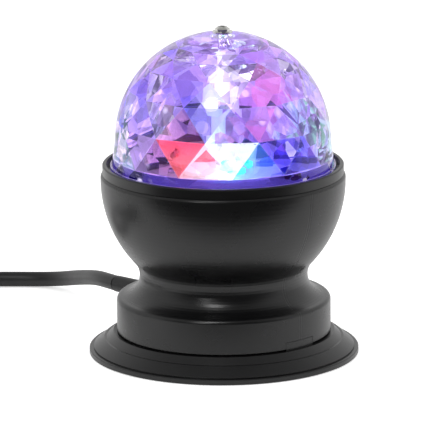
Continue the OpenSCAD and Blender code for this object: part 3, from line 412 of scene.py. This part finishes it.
taped_winding = moulded("taped_winding", winding_tape, roughness=0.5, depth=0.04 * mm, size=0.8 * mm)
cover(circuit_board("board_green", board_green, board_tracks), "driver_board")
cover(zinc_steel, "board_screws")
cover(taped_winding, "transformer")
cover(moulded("capacitor_sleeve", sleeve_blue, roughness=0.25), "electrolytics")
cover(moulded("dipped_red", dip_red, roughness=0.2), "film_capacitor")
cover(moulded("glazed_tube", tube_ivory, roughness=0.15, part=0.08), "fuse")
cover(moulded("terminal_green", block_green, roughness=0.4), "terminal_block")
cover(moulded("lead_brown", mains_brown, lead_rough), "mains_leads")
cover(moulded("lead_red", led_lead_red, lead_rough), "led_leads")
cover(moulded("lead_blue", motor_lead_blue, lead_rough), "motor_leads")


# Gearbox and motor: two grey plates held apart by pillars, three gear steps of acetal between them
# on steel pins, bronze bushes for the drive shaft, and a small motor under the lower plate.
pin_steel = (0.72, 0.73, 0.74, 1.0)
bush_bronze = (0.62, 0.43, 0.2, 1.0)
plate_grey = (0.09, 0.095, 0.1, 1.0)
gear_white = (0.82, 0.81, 0.76, 1.0)
gear_yellow = (0.8, 0.55, 0.08, 1.0)
gear_orange = (0.8, 0.25, 0.06, 1.0)
can_steel = (0.66, 0.67, 0.68, 1.0)
cap_ivory = (0.75, 0.73, 0.65, 1.0)
gear_rough = 0.35
ground_steel = metal("ground_steel", pin_steel, roughness=0.2)
sintered_bronze = metal("sintered_bronze", bush_bronze, roughness=0.4, depth=0.01 * mm)
cover(moulded("plate_grey", plate_grey, roughness=0.45), "gearbox_base", "gearbox_cover")
cover(zinc_steel, "gearbox_screws", "hanger_screws", "motor_screws")
cover(sintered_bronze, "lower_bush", "upper_bush", "motor_pinion")
cover(ground_steel, "gear_1_pin", "gear_2_pin", "motor_shaft", "drive_shaft")
cover(moulded("acetal_white", gear_white, gear_rough, part=0.05), "output_gear")
cover(moulded("acetal_yellow", gear_yellow, gear_rough, part=0.1), "reduction_gear_1")
cover(moulded("acetal_orange", gear_orange, gear_rough, part=0.1), "reduction_gear_2")
cover(metal("drawn_can", can_steel, roughness=0.28), "motor_can")
cover(moulded("cap_ivory", cap_ivory, roughness=0.4, part=0.08), "motor_cap")


# Light deck: a pale grey moulded disc, screwed to the ledge in the bowl. It carries the cast heat sink
# below and the white LED board above.
deck_grey = (0.4, 0.4, 0.42, 1.0)
sink_grey = (0.72, 0.73, 0.75, 1.0)
board_white = (0.8, 0.81, 0.82, 1.0)
white_tracks = (0.7, 0.71, 0.72, 1.0)
cover(moulded("deck_grey", deck_grey, roughness=0.35, part=0.04), "light_deck")
cover(zinc_steel, "deck_screws", "led_screws")
cover(metal("cast_aluminium", sink_grey, roughness=0.45, depth=0.02 * mm), "heat_sink")
cover(circuit_board("board_white", board_white, white_tracks), "led_board")


# LEDs: a red, a green and a blue one on the white board, each a round base that glows under a clear
# silicone half ball. Three small coloured lamps stand for the light that they throw into the dome.
led_red = (1.0, 0.03, 0.08, 1.0)
led_green = (0.08, 1.0, 0.48, 1.0)
led_blue = (0.05, 0.1, 1.0, 1.0)
led_colours = {"led_green": led_green, "led_blue": led_blue, "led_red": led_red}
led_glow = 1.5
lens_glow = 0.8
lens_rough = 0.08
lens_coat = 0.5
lens_aside = 5 * mm
led_power = 0.002
led_lamp_rise = 5 * mm
led_lamp_r = 2 * mm


def middle_of(name):
    """The middle of a CAD node's box."""
    low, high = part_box(name)
    return (Vector(low) + Vector(high)) / 2


def turn_of(name):
    """The direction of a CAD node's middle from the axis, in degrees from the x axis."""
    middle = middle_of(name)
    return math.degrees(math.atan2(middle.y, middle.x))


def glowing(name, colour, strength):
    """Moulded plastic that glows in its own colour."""
    material, _, shader = moulded_skin(name, colour, roughness=0.3, part=0.1)
    shader.inputs["Emission Color"].default_value = colour
    shader.inputs["Emission Strength"].default_value = strength
    return material


def lens_material():
    """Clear silicone that takes the colour of the LED under it: red to the left of the axis, blue to
    the right, green in front."""
    material, tree, shader = new_material("lens_clear")
    place = add(tree, "ShaderNodeTexCoord")
    along = add(tree, "ShaderNodeSeparateXYZ", {"Vector": place.outputs["Object"]})
    left = reckon(tree, "LESS_THAN", along.outputs["X"], -lens_aside)
    right = reckon(tree, "GREATER_THAN", along.outputs["X"], lens_aside)
    tint = mix_colour(tree, right, mix_colour(tree, left, led_green, led_red), led_blue)
    put(tree, shader.inputs["Base Color"], tint)
    put(tree, shader.inputs["Emission Color"], tint)
    shader.inputs["Emission Strength"].default_value = lens_glow
    shader.inputs["Roughness"].default_value = lens_rough
    shader.inputs["Coat Weight"].default_value = lens_coat
    return material


for led, colour in led_colours.items():
    cover(glowing(led + "_glow", colour, led_glow), led)
    light = bpy.data.lights.new(led + "_lamp", "POINT")
    light.color = colour[:3]
    light.energy = led_power
    light.shadow_soft_size = led_lamp_r
    lamp = bpy.data.objects.new(led + "_lamp", light)
    lamp.location = middle_of(led) + Vector((0, 0, led_lamp_rise))
    lamp.visible_camera = False
    lamp.visible_glossy = False
    lamp.visible_transmission = False
    scene.collection.objects.link(lamp)
cover(lens_material(), "led_lenses")


# Centre post: a white tube that stands on the drive shaft and carries the dome. The coloured light
# mixes to white in it, and a painted glow over its length stands in for that light.
post_white = (0.86, 0.9, 0.92, 1.0)
post_glow_low = (0.75, 1.0, 0.95, 1.0)
post_glow_high = (0.8, 0.9, 1.0, 1.0)
post_glow = 0.25


def post_material():
    """White plastic with a painted glow for the LEDs' light, from a greenish white at the lights to a
    bluish white at the top.
    """
    material, tree, shader = moulded_skin("post_white", post_white, roughness=0.3, part=0.04)
    low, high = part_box("centre_post")
    place = add(tree, "ShaderNodeTexCoord")
    along = add(tree, "ShaderNodeSeparateXYZ", {"Vector": place.outputs["Object"]})
    rise = spread(tree, along.outputs["Z"], low[2], high[2])
    put(tree, shader.inputs["Emission Color"], mix_colour(tree, rise, post_glow_low, post_glow_high))
    shader.inputs["Emission Strength"].default_value = post_glow
    return material


cover(post_material(), "centre_post")


# Dome: one clear moulding, a smooth ball outside and flat three-sided facets inside, with a flange
# at the bottom and a boss at the top, where a screw and a washer hold it to the post. Each facet
# glows with painted light of its own, which stands in for the three LEDs' light seen through it.
# The facets' angles are in degrees.
dome_r = 39.7 * mm
dome_skirt = 11.1 * mm
dome_flare = 1.2 * mm
dome_flange_r = 41.5 * mm
dome_flange = 1.6 * mm
dome_wall = 2.3 * mm
dome_bore = 0.8 * mm
dome_seat_r = 4.0 * mm
dome_boss_r = 4.2 * mm
dome_boss = 6.4 * mm
dome_hole_r = 1.7 * mm
dome_sharp = math.radians(30)
dome_rough = 0.02
dome_ior = 1.5
ball_points = 40
facets_round = 12
facet_rings = 7
facet_low = -10.5
facet_step = 20.0
facet_turn = 5.0
facet_columns = 16
columns = facet_columns * facets_round
dome_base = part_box("dome")[0][2]
dome_middle = dome_base + dome_skirt
facet_r = dome_r - dome_wall
screw_steel = (0.75, 0.75, 0.72, 1.0)

# The facets' painted light, which stands in for the LEDs' light seen through the dome. A patch has its
# kind, its degrees to the right of an LED, its degrees above the dome's middle, its reach in millimetres
# and its weight; a kind has a colour and the strength of its glow. The dark kinds, dusk and mauve, are
# painted shade.
led_shares = {"led_green": 1.0, "led_blue": 0.6, "led_red": 0.6}
facet_pull = 0.68
facet_seed = 11
facet_lean = 0.16
shard_lean = 0.4
shard_sizes = (3.5 * mm, 8 * mm)
shard_shades = (0.45, 1.35)
shard_middle = (0.5, 0.5, 0.5)
# Painted highlights along the facets' edges, and painted glints, the sparks, in a few cells.
edge_highlight_line = (0.035, 0.01)
edge_highlight = 0.15
spark_light = (0.9, 0.88, 1.0, 1.0)
spark_chance = 0.88
spark_edge = (0.3, 0.1)
gloss_tint = (0.72, 0.6, 1.0, 1.0)
clear_tint = (0.69, 0.6, 0.95)
# Painted glow on the faces that are not facets: the boss's side, the bore, and the fans that close the
# step and the ceiling.
column_light = ((0.7, 0.92, 0.94), 0.7)
bore_light = ((0.03, 0.015, 0.3), 0.12)
ceiling_light = ((0.45, 0.28, 0.8), 0.45)
patch_edge = 4
ground_glow = 0.17
ground_lights = np.array([
    (0.57, 0.42, 0.93), (0.40, 0.27, 0.86), (0.73, 0.60, 0.96), (0.67, 0.42, 0.92), (0.50, 0.38, 0.92)])
deep_glows = {"own": 0.7, "right": 0.5, "left": 0.7}
own_pale = {"part": 0.25, "white": (0.7, 0.7, 0.7), "strength": 1.0}
left_pale = {"part": 0.3, "white": (0.65, 0.62, 0.4), "strength": 1.1}
plain_lights = {
    "pale": ((0.72, 0.70, 0.95), 0.3), "pink": ((0.58, 0.34, 0.88), 0.24),
    "magenta": ((0.45, 0.01, 0.4), 0.5), "pink_red": ((0.85, 0.03, 0.2), 0.6),
    "blue_grey": ((0.22, 0.3, 0.76), 0.25), "deep_blue": ((0.004, 0.015, 0.5), 0.5),
    "dusk": ((0.03, 0.01, 0.07), 0.01), "mauve": ((0.2, 0.03, 0.08), 0.1),
    "white": ((0.92, 0.96, 0.96), 0.8)}
light_patches = [
    ("own_pale", -15, -4, 9, 1.0), ("own_pale", 0, 3, 9, 1.0), ("own", 15, -3, 7, 0.8),
    ("magenta", 17, -9, 5, 0.8), ("right", 30, 3, 13, 1.0), ("deep_blue", 45, -4, 8, 0.7),
    ("left", -30, 4, 11, 1.0), ("left_pale", -33, -8, 4, 1.0), ("dusk", -45, -3, 7, 0.8),
    ("own_pale", -2, 14, 8, 1.0), ("deep_blue", 8, 19, 7, 1.0), ("blue_grey", -15, 22, 8, 0.8),
    ("mauve", -30, 17, 7, 0.8), ("pink", 22, 22, 7, 0.8), ("pink", 30, 15, 7, 0.6),
    ("pale", -45, 21, 8, 0.7), ("blue_grey", -15, 32, 7, 0.7), ("white", -4, 38, 5, 1.0),
    ("pink", 15, 34, 8, 0.9), ("pink", 30, 39, 8, 0.8), ("white", -5, 48, 5, 0.9),
    ("pink_red", 32, 50, 3.5, 0.7), ("white", -4, 62, 5, 0.7)]


def facet_corners():
    """The lattice: rings of corners on a ball, each ring a step above the one below that shrinks with
    the ball's girth, every other ring turned by half a facet; the lowest ring keeps the full girth."""
    lat = [facet_low]
    for ring in range(1, facet_rings):
        lat.append(lat[-1] + facet_step * math.cos(math.radians(lat[-1] + facet_step / 2)))
    lat = np.radians(np.array(lat))[:, None]
    ring = np.arange(facet_rings)[:, None]
    place = np.arange(facets_round)[None, :] + (ring % 2) / 2
    turn = np.radians(facet_turn + place * 360 / facets_round)
    out = np.where(lat < 0, facet_r, facet_r * np.cos(lat))
    height = dome_middle + facet_r * np.sin(lat) + 0 * turn
    return np.stack([out * np.cos(turn), out * np.sin(turn), height], axis=-1)


def facet_faces():
    """Two triangles for each corner and band: one stands on the ring's edge, one hangs from the next."""
    ring, place = np.meshgrid(np.arange(facet_rings - 1), np.arange(facets_round), indexing="ij")
    odd = ring % 2
    here = ring * facets_round + place
    after = ring * facets_round + (place + 1) % facets_round
    above = (ring + 1) * facets_round + (place + odd) % facets_round
    before = (ring + 1) * facets_round + (place - 1 + odd) % facets_round
    return np.concatenate([np.stack([here, above, after], -1).reshape(-1, 3),
                           np.stack([here, before, above], -1).reshape(-1, 3)])


def revolve(profile, turns):
    """The profile's points carried round the axis: distance from the axis, then height, at each turn."""
    radius = profile[:, 0][:, None]
    height = profile[:, 1][:, None] + 0 * turns[None, :]
    return np.stack([radius * np.cos(turns), radius * np.sin(turns), height], axis=-1)


def ring_quads(rows, count, first=0):
    """Four-sided faces between neighbouring rows of a grid that closes on itself across."""
    row, place = np.meshgrid(np.arange(rows - 1), np.arange(count), indexing="ij")
    here = first + row * count + place
    beside = first + row * count + (place + 1) % count
    return np.stack([here, beside, beside + count, here + count], -1).reshape(-1, 4)


def dome_profile(ceiling):
    """Half section outside the facets: bore, flange, flared skirt, ball, seat, hole and boss."""
    seat = math.acos(dome_seat_r / dome_r)
    rise = np.linspace(0, seat, ball_points)
    ball = np.stack([dome_r * np.cos(rise), dome_middle + dome_r * np.sin(rise)], -1)
    bore_r = facet_r + dome_bore
    bore_top = dome_middle + facet_r * math.sin(math.radians(facet_low))
    flange_top = dome_base + dome_flange
    boss_end = dome_middle + dome_r - dome_boss
    below = [(bore_r, bore_top), (bore_r, dome_base), (dome_flange_r, dome_base),
             (dome_flange_r, flange_top), (dome_r + dome_flare, flange_top)]
    above = [(dome_hole_r, ball[-1, 1]), (dome_hole_r, boss_end), (dome_boss_r, boss_end),
             (dome_boss_r, ceiling)]
    return np.concatenate([np.array(below), ball, np.array(above)])


def paled(colour, part, white, strength):
    """A part of a colour over a white, with the strength of its glow."""
    return part * colour + white, strength


def light_kinds(own, right, left):
    """Every kind of painted light at one LED: the plain ones, then its own colour and those of the LEDs to
    its right and left, each squared to deepen it, and two pale ones."""
    deep = {"own": own ** 2, "right": right ** 2, "left": left ** 2}
    kinds = dict(plain_lights)
    kinds.update({kind: (colour, deep_glows[kind]) for kind, colour in deep.items()})
    kinds["own_pale"] = paled(own, **own_pale)
    kinds["left_pale"] = paled(left, **left_pale)
    return kinds


def on_facets(turn, lift):
    """The point on the facets' ball at a turn round the axis and a lift above its middle, in degrees."""
    turn = math.radians(turn)
    lift = math.radians(lift)
    way = np.array([math.cos(lift) * math.cos(turn), math.cos(lift) * math.sin(turn), math.sin(lift)])
    return facet_r * way + (0, 0, dome_middle)


def facet_light(centres, corners):
    """Each facet's painted light at its corners: one of the ground lights, then for each LED the patches
    of painted light round its direction, each laid over with a weight that fades with distance; the point
    looked at is drawn from the corner towards the facet's middle."""
    chance = np.random.RandomState(facet_seed)
    points = corners + (centres[:, None, :] - corners) * facet_pull
    tint = np.repeat(ground_lights[chance.randint(len(ground_lights), size=len(centres))][:, None], 3, axis=1)
    glow = np.full(points.shape[:2] + (1,), ground_glow)
    names = list(led_colours)
    for index, name in enumerate(names):
        order = names[index:] + names[:index]
        kinds = light_kinds(*[np.array(led_colours[led][:3]) for led in order])
        for kind, aside, lat, reach, weight in light_patches:
            at = on_facets(turn_of(name) + aside, lat)
            apart = np.linalg.norm(points - at, axis=-1) / (reach * mm)
            share = led_shares[name] * weight * np.exp(-apart ** patch_edge)[..., None]
            colour, strength = kinds[kind]
            tint = tint * (1 - share) + np.array(colour) * share
            glow = glow * (1 - share) + strength * share
    return np.minimum(tint, 1.0), glow


def mark_corners(mesh, name, kind, field, values):
    """Keeps a value for each corner of each face in the mesh, under a name."""
    mesh.attributes.new(name, kind, "CORNER").data.foreach_set(field, values.ravel())


def make_dome():
    """Facets, then the revolved outside, then many-sided faces that close the step under the lowest ring
    and the ceiling round the boss. The corners carry the painted light, the nearness to the facet's three
    sides and the facet's lean."""
    lattice = facet_corners()
    turns = np.radians(facet_turn + np.arange(columns) * 360 / columns)
    outside = revolve(dome_profile(lattice[-1, 0, 2]), turns)
    points = np.concatenate([lattice.reshape(-1, 3), outside.reshape(-1, 3)])
    first = facet_rings * facets_round
    last = first + (len(outside) - 1) * columns
    top = (facet_rings - 1) * facets_round
    triangles = facet_faces()
    fans = []
    for place in range(facets_round):
        after = (place + 1) % facets_round
        arc = [(place * facet_columns + step) % columns for step in range(facet_columns + 1)]
        fans.append([after] + [first + j for j in reversed(arc)] + [place])
        fans.append([last + j for j in arc] + [top + after, top + place])
    faces = triangles.tolist() + ring_quads(len(outside), columns, first).tolist() + fans
    mesh = bpy.data.meshes.new("dome_shell")
    mesh.from_pydata(points.tolist(), [], faces)
    flat = len(triangles)
    smooth = np.ones(len(faces), bool)
    smooth[:flat] = False
    mesh.polygons.foreach_set("use_smooth", smooth)
    of_face = np.repeat(np.arange(len(faces)), [len(face) for face in faces])
    light = np.zeros((len(of_face), 4))
    light[:, :3] = clear_tint
    corners = points[triangles]
    tint, glow = facet_light(corners.mean(axis=1), corners)
    light[:flat * 3] = np.concatenate([tint, glow], axis=-1).reshape(-1, 4)
    rows = (of_face - flat) // columns
    fan = of_face >= len(faces) - len(fans)
    column = (rows == len(outside) - 2) & ~fan
    for where, kind in [(rows == 0, bore_light), (column, column_light), (fan, ceiling_light)]:
        colour, strength = kind
        light[where] = colour + (strength,)
    edge = np.ones((len(of_face), 3))
    edge[:flat * 3] = np.tile(np.eye(3), (flat, 1))
    chance = np.random.RandomState(facet_seed + 1)
    lean = np.zeros((len(of_face), 3))
    lean[:flat * 3] = np.repeat(chance.normal(0, facet_lean, (flat, 3)), 3, axis=0)
    mark_corners(mesh, "facet_light", "FLOAT_COLOR", "color", light)
    mark_corners(mesh, "facet_edge", "FLOAT_VECTOR", "vector", edge)
    mark_corners(mesh, "facet_lean", "FLOAT_VECTOR", "vector", lean)
    mesh.set_sharp_from_angle(angle=dome_sharp)
    return mesh


def dome_material():
    """Clear plastic that the corners' painted light tints. The painted light also glows, broken into
    shards by a fine and a broad cell pattern, with painted highlights along the facets' edges and painted
    glints, the sparks, in a few broad cells. The facets lean by their own lean and by the cells', and
    shadow rays go straight through."""
    material, tree, shader = new_material("dome_clear")
    light = add(tree, "ShaderNodeAttribute", attribute_name="facet_light")
    edge = add(tree, "ShaderNodeAttribute", attribute_name="facet_edge")
    near = add(tree, "ShaderNodeSeparateXYZ", {"Vector": edge.outputs["Vector"]})
    least = reckon(tree, "MINIMUM", near.outputs["X"], reckon(
        tree, "MINIMUM", near.outputs["Y"], near.outputs["Z"]))
    # Painted highlights: a bright line along each facet's edge, and painted glints, the sparks, in a few
    # broad cells.
    line = spread(tree, least, *edge_highlight_line)
    place = add(tree, "ShaderNodeTexCoord")
    shade = 1.0
    for size in shard_sizes:
        cells = {"Vector": place.outputs["Object"], "Scale": 1 / size}
        shards = add(tree, "ShaderNodeTexVoronoi", cells)
        chance = add(tree, "ShaderNodeSeparateColor", {"Color": shards.outputs["Color"]})
        part = between(tree, chance.outputs["Red"], *shard_shades)
        shade = reckon(tree, "MULTIPLY", part, shade)
    facet = reckon(tree, "GREATER_THAN", light.outputs["Alpha"], 0.0)
    few = reckon(tree, "GREATER_THAN", chance.outputs["Green"], spark_chance)
    spot = spread(tree, shards.outputs["Distance"], *spark_edge)
    spark = reckon(tree, "MULTIPLY", reckon(tree, "MULTIPLY", spot, few), facet)
    bright = reckon(tree, "MAXIMUM", reckon(tree, "MULTIPLY", line, edge_highlight), spark)
    glow = mix_colour(tree, bright, light.outputs["Color"], spark_light)
    strength = reckon(tree, "MULTIPLY", light.outputs["Alpha"], shade)
    put(tree, shader.inputs["Base Color"], light.outputs["Color"])
    put(tree, shader.inputs["Emission Color"], glow)
    put(tree, shader.inputs["Emission Strength"], reckon(tree, "MAXIMUM", strength, bright))
    face = add(tree, "ShaderNodeNewGeometry")
    leaning = add(tree, "ShaderNodeAttribute", attribute_name="facet_lean")
    tilt = add(tree, "ShaderNodeVectorMath", {
        0: shards.outputs["Color"], 1: shard_middle}, operation="SUBTRACT")
    share = reckon(tree, "MULTIPLY", facet, shard_lean)
    tilt = add(tree, "ShaderNodeVectorMath", {
        0: tilt.outputs["Vector"], "Scale": share}, operation="SCALE")
    tilt = add(tree, "ShaderNodeVectorMath", {0: tilt.outputs["Vector"], 1: leaning.outputs["Vector"]})
    tilt = add(tree, "ShaderNodeVectorMath", {0: tilt.outputs["Vector"], 1: face.outputs["Normal"]})
    tilt = add(tree, "ShaderNodeVectorMath", {0: tilt.outputs["Vector"]}, operation="NORMALIZE")
    put(tree, shader.inputs["Normal"], tilt.outputs["Vector"])
    shader.inputs["Transmission Weight"].default_value = 1.0
    shader.inputs["Roughness"].default_value = dome_rough
    shader.inputs["IOR"].default_value = dome_ior
    shader.inputs["Specular Tint"].default_value = gloss_tint
    path = add(tree, "ShaderNodeLightPath")
    clear = add(tree, "ShaderNodeBsdfTransparent")
    show = add(tree, "ShaderNodeMixShader", {
        0: path.outputs["Is Shadow Ray"], 1: shader.outputs["BSDF"], 2: clear.outputs["BSDF"]})
    out = [node for node in tree.nodes if node.bl_idname == "ShaderNodeOutputMaterial"][0]
    put(tree, out.inputs["Surface"], show.outputs["Shader"])
    material.cycles.emission_sampling = "NONE"
    return material


def place_piece(name, mesh, material, body, slot, *replaced):
    """A new piece at the origin with its material, riding on a body in place of its CAD nodes."""
    piece = bpy.data.objects.new(name, mesh)
    mesh.materials.append(material)
    scene.collection.objects.link(piece)
    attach(piece, body)
    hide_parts(*replaced)
    return piece


place_piece("dome_shell", make_dome(), dome_material(), "dome_rotor", "dome_clear", "dome")
cover(metal("bright_steel", screw_steel, roughness=0.24), "dome_washer", "dome_screw")


# Cord: a round black mains cord, sheathed in soft plastic, that leaves the drum through a slim strain
# relief, falls to the table and lies in a flat coil of two layers, held by a paper tie, up to its
# two-pin plug. Its sizes and the points of its route are in millimetres.
cord_black = (0.005, 0.005, 0.0055, 1.0)
cord_d = 5.8
cord_sides = 20
cord_step = 2.0
cord_ease = 14.0
cord_out = np.array((-40.093, 40.093, 15.6))
coil_at = np.array((-134.0, 54.5))
coil_r = 43.0
coil_turns = 6
coil_steps = 96
coil_start = 90
coil_pitch = 6.45
coil_z = (3.9, 10.35)
climb_turns = 0.5
coil_in = np.array((-128.2, 97.5, coil_z[0]))
coil_out = np.array((-139.8, 97.5, coil_z[1]))
plug_at = np.array((-168.0, 15.0, 6.85))
plug_turn = math.radians(-60)
plug_way = np.array((math.cos(plug_turn), math.sin(plug_turn), 0.0))
run_route = [
    cord_out, cord_out + (-2.4, 2.4, 0), (-47, 53, 14.6), (-50.5, 64, 12), (-54.5, 76, 9), (-59, 87, 6),
    (-64, 94, 3.7), (-71, 97.2, 2.95), (-80, 97.8, 2.95), (-92, 97.6, 3), (-105, 97.5, 3.5),
    (-117, 97.5, coil_z[0]), coil_in + (1, 0, 0), coil_in]
tail_route = [
    coil_out, coil_out - (1, 0, 0), (-150, 97, 10), (-162, 93, 8.3), (-172.5, 85.2, 5.9), (-180, 74, 3.9),
    (-183.7, 62, 2.95), (-184, 50, 2.95), (-181.3, 38.6, 3), (-177, 30.4, 4.2), (-172.5, 22.7, 6.3),
    plug_at - plug_way, plug_at]
drawn_space = 3 * mm
drawn_depth = 0.03 * mm
skin_sharp = math.radians(40)


def coil_route():
    """In along the lower layer, up where the spiral turns back, out along the upper layer: the radius
    falls by a pitch each turn to the middle of the coil and grows again, the height climbs on a cosine."""
    half = coil_turns / 2
    along = np.linspace(0, coil_turns, coil_steps * coil_turns + 1)
    radius = coil_r - coil_pitch * (half - np.abs(along - half))
    turn = np.radians(coil_start + 360 * along)
    climb = np.clip((along - half + climb_turns / 2) / climb_turns, 0, 1)
    height = coil_z[0] + (coil_z[1] - coil_z[0]) * (1 - np.cos(math.pi * climb)) / 2
    x = coil_at[0] + radius * np.cos(turn)
    y = coil_at[1] + radius * np.sin(turn)
    return np.stack([x, y, height], -1)


def ease_route(points, step, reach):
    """The route at even steps, its bends eased by a running mean that leaves both ends where they are."""
    points = np.asarray(points, float)
    gone = np.concatenate([[0], np.cumsum(np.linalg.norm(np.diff(points, axis=0), axis=1))])
    at = np.linspace(0, gone[-1], int(gone[-1] / step) + 1)
    even = np.stack([np.interp(at, gone, points[:, axis]) for axis in range(3)], -1)
    wide = int(reach / step)
    weight = np.hanning(2 * wide + 3)[1:-1]
    weight = weight / weight.sum()
    before = 2 * even[0] - even[wide:0:-1]
    after = 2 * even[-1] - even[-2:-wide - 2:-1]
    padded = np.concatenate([before, even, after])
    return np.stack([np.convolve(padded[:, axis], weight, "valid") for axis in range(3)], -1)


def tube_grid(path, radius, sides):
    """Circles square to the path: across is level, rise is square to both."""
    way = np.gradient(path, axis=0)
    way = way / np.linalg.norm(way, axis=1, keepdims=True)
    across = np.cross(way, (0, 0, 1))
    across = across / np.linalg.norm(across, axis=1, keepdims=True)
    rise = np.cross(across, way)
    turn = np.linspace(0, 2 * math.pi, sides, endpoint=False)[None, :, None]
    return path[:, None] + radius * (np.cos(turn) * across[:, None] + np.sin(turn) * rise[:, None])


def grid_mesh(name, grid, along=None):
    """A closed skin from a grid of rings: faces between neighbouring rings and one face over each end.
    The UV map holds the distance along the piece and the share of the way round it."""
    rows, count = grid.shape[:2]
    quads = ring_quads(rows, count)
    ends = [list(range(count - 1, -1, -1)), list(range((rows - 1) * count, rows * count))]
    mesh = bpy.data.meshes.new(name)
    mesh.from_pydata((grid.reshape(-1, 3) * mm).tolist(), [], quads.tolist() + ends)
    if along is None:
        along = np.arange(rows, dtype=float)
    row, place = np.meshgrid(np.arange(rows - 1), np.arange(count), indexing="ij")
    across = np.stack([place, place + 1, place + 1, place], -1).reshape(-1) / count
    length = np.stack([along[row], along[row], along[row + 1], along[row + 1]], -1).reshape(-1)
    flat = np.zeros((len(mesh.loops), 2))
    flat[:len(across), 0] = length * mm
    flat[:len(across), 1] = across
    mesh.uv_layers.new(name="along").data.foreach_set("uv", flat.ravel())
    mesh.polygons.foreach_set("use_smooth", np.ones(len(mesh.polygons), bool))
    mesh.set_sharp_from_angle(angle=skin_sharp)
    return mesh


def sheath_material():
    """Soft black sheath: faint rings left by drawing, worked from the distance along the cord, over the
    grain."""
    material, tree, shader = moulded_skin(
        "cord_sheath", cord_black, roughness=0.42, depth=0.01 * mm, size=0.4 * mm)
    place = add(tree, "ShaderNodeTexCoord")
    split = add(tree, "ShaderNodeSeparateXYZ", {"Vector": place.outputs["UV"]})
    rings = add(tree, "ShaderNodeTexNoise", {
        "W": split.outputs["X"], "Scale": 1 / drawn_space}, noise_dimensions="1D")
    grain = shader.inputs["Normal"].links[0].from_socket
    drawn = add(tree, "ShaderNodeBump", {
        "Distance": drawn_depth, "Height": rings.outputs["Fac"], "Normal": grain})
    put(tree, shader.inputs["Normal"], drawn.outputs["Normal"])
    return material


cord_path = ease_route(np.concatenate([run_route, coil_route(), tail_route]), cord_step, cord_ease)
cord_gone = np.arange(len(cord_path)) * cord_step
cord_mesh = grid_mesh("mains_cord", tube_grid(cord_path, cord_d / 2, cord_sides), cord_gone)
cord_sheath = sheath_material()
cord = place_piece("mains_cord", cord_mesh, cord_sheath, "base", "cord_black",
                   "cord_run", "cord_coil", "cord_tail")
cover(cord_sheath, "strain_relief")

# The coil is put away close beside the light, so the gloss of the housing doesn't mirror it.
cord.visible_glossy = False


# Plug and tie: a flat two-pin plug moulded on the cord's end with nickelled pins, and a strip of white
# paper with a wire in it round the coil. A station of the plug has its distance along the plug, its half
# width and its half height, in millimetres.
plug_black = (0.013, 0.013, 0.014, 1.0)
paper_white = (0.8, 0.8, 0.78, 1.0)
pin_nickel = (0.72, 0.71, 0.68, 1.0)
plug_stations = np.array([
    (0, 3.4, 3.4), (5, 4.2, 4.2), (10, 6.2, 5.4), (13, 9.5, 6.2), (17, 16.4, 6.7), (20, 17.5, 6.85),
    (31, 17.5, 6.85), (34.5, 16.2, 6.7), (36.4, 14.2, 6.2), (37, 12.8, 5.4)])
plug_square = 4.0
plug_rings = 60
plug_sides = 64
tie_turn = math.radians(300)
tie_in = (22.94, 43.71)
tie_high = 13.55
tie_t = 0.8
tie_w = 6.0
tie_square = 8.0
tie_rings = 96
tie_sides = 24
tie_wire_r = 0.7
tie_paper_proud = 0.28
tie_wire_proud = 0.2


def square_round(turn, power):
    """A point on a rounded square: cosine and sine drawn out towards the corners by a power."""
    cosine = np.cos(turn)
    sine = np.sin(turn)
    return (np.sign(cosine) * np.abs(cosine) ** (2 / power), np.sign(sine) * np.abs(sine) ** (2 / power))


def plug_grid():
    """Rounded squares along the plug's axis, with half width and half height taken between the
    stations."""
    along = np.linspace(0, plug_stations[-1, 0], plug_rings)
    half_w = np.interp(along, plug_stations[:, 0], plug_stations[:, 1])[:, None]
    half_t = np.interp(along, plug_stations[:, 0], plug_stations[:, 2])[:, None]
    turn = np.linspace(0, 2 * math.pi, plug_sides, endpoint=False)[None, :]
    wide, high = square_round(turn, plug_square)
    across = np.cross((0, 0, 1), plug_way)
    return (plug_at + along[:, None, None] * plug_way + (half_w * wide)[..., None] * across
            + (half_t * high)[..., None] * (0, 0, 1))


def tie_mesh():
    """A band round the bundle: a rounded square in the upright plane through the coil's middle, carried
    round a flat section that is thicker over its wire."""
    middle = np.array((sum(tie_in) / 2, (tie_high + tie_t) / 2))
    inner = np.array(((tie_in[1] - tie_in[0]) / 2, (tie_high - tie_t) / 2))
    wide, high = square_round(np.linspace(0, 2 * math.pi, tie_rings, endpoint=False)[:, None], tie_square)
    turn = np.linspace(0, 2 * math.pi, tie_sides, endpoint=False)[None, :]
    side = tie_w / 2 * np.cos(turn)
    wire = np.exp(-(side / tie_wire_r) ** 2)
    proud = tie_t * (0.5 + np.sin(turn) * (tie_paper_proud + tie_wire_proud * wire))
    radial = middle[0] + (inner[0] + proud) * wide
    height = middle[1] + (inner[1] + proud) * high
    out = np.array((math.cos(tie_turn), math.sin(tie_turn)))
    x = coil_at[0] + radial * out[0] - side * out[1]
    y = coil_at[1] + radial * out[1] + side * out[0]
    grid = np.stack([x, y, height], -1)
    rows, count = grid.shape[:2]
    row, place = np.meshgrid(np.arange(rows), np.arange(count), indexing="ij")
    here = row * count + place
    beside = row * count + (place + 1) % count
    step = (row + 1) % rows * count
    faces = np.stack([here, step + place, step + (place + 1) % count, beside], -1).reshape(-1, 4)
    mesh = bpy.data.meshes.new("coil_tie")
    mesh.from_pydata((grid.reshape(-1, 3) * mm).tolist(), [], faces.tolist())
    mesh.polygons.foreach_set("use_smooth", np.ones(len(mesh.polygons), bool))
    return mesh


plug_plastic = moulded("plug_black", plug_black, roughness=0.45, depth=0.02 * mm, size=0.5 * mm)
tie_paper = moulded("tie_paper", paper_white, roughness=0.7, depth=0.03 * mm, size=0.6 * mm, part=0.06)
plug = place_piece("mains_plug", grid_mesh("mains_plug", plug_grid()), plug_plastic,
                   "base", "plug_black", "plug_body")
tie = place_piece("coil_tie", tie_mesh(), tie_paper, "base", "tie_white", "cord_tie")
cover(metal("nickel", pin_nickel, roughness=0.2), "plug_pins")
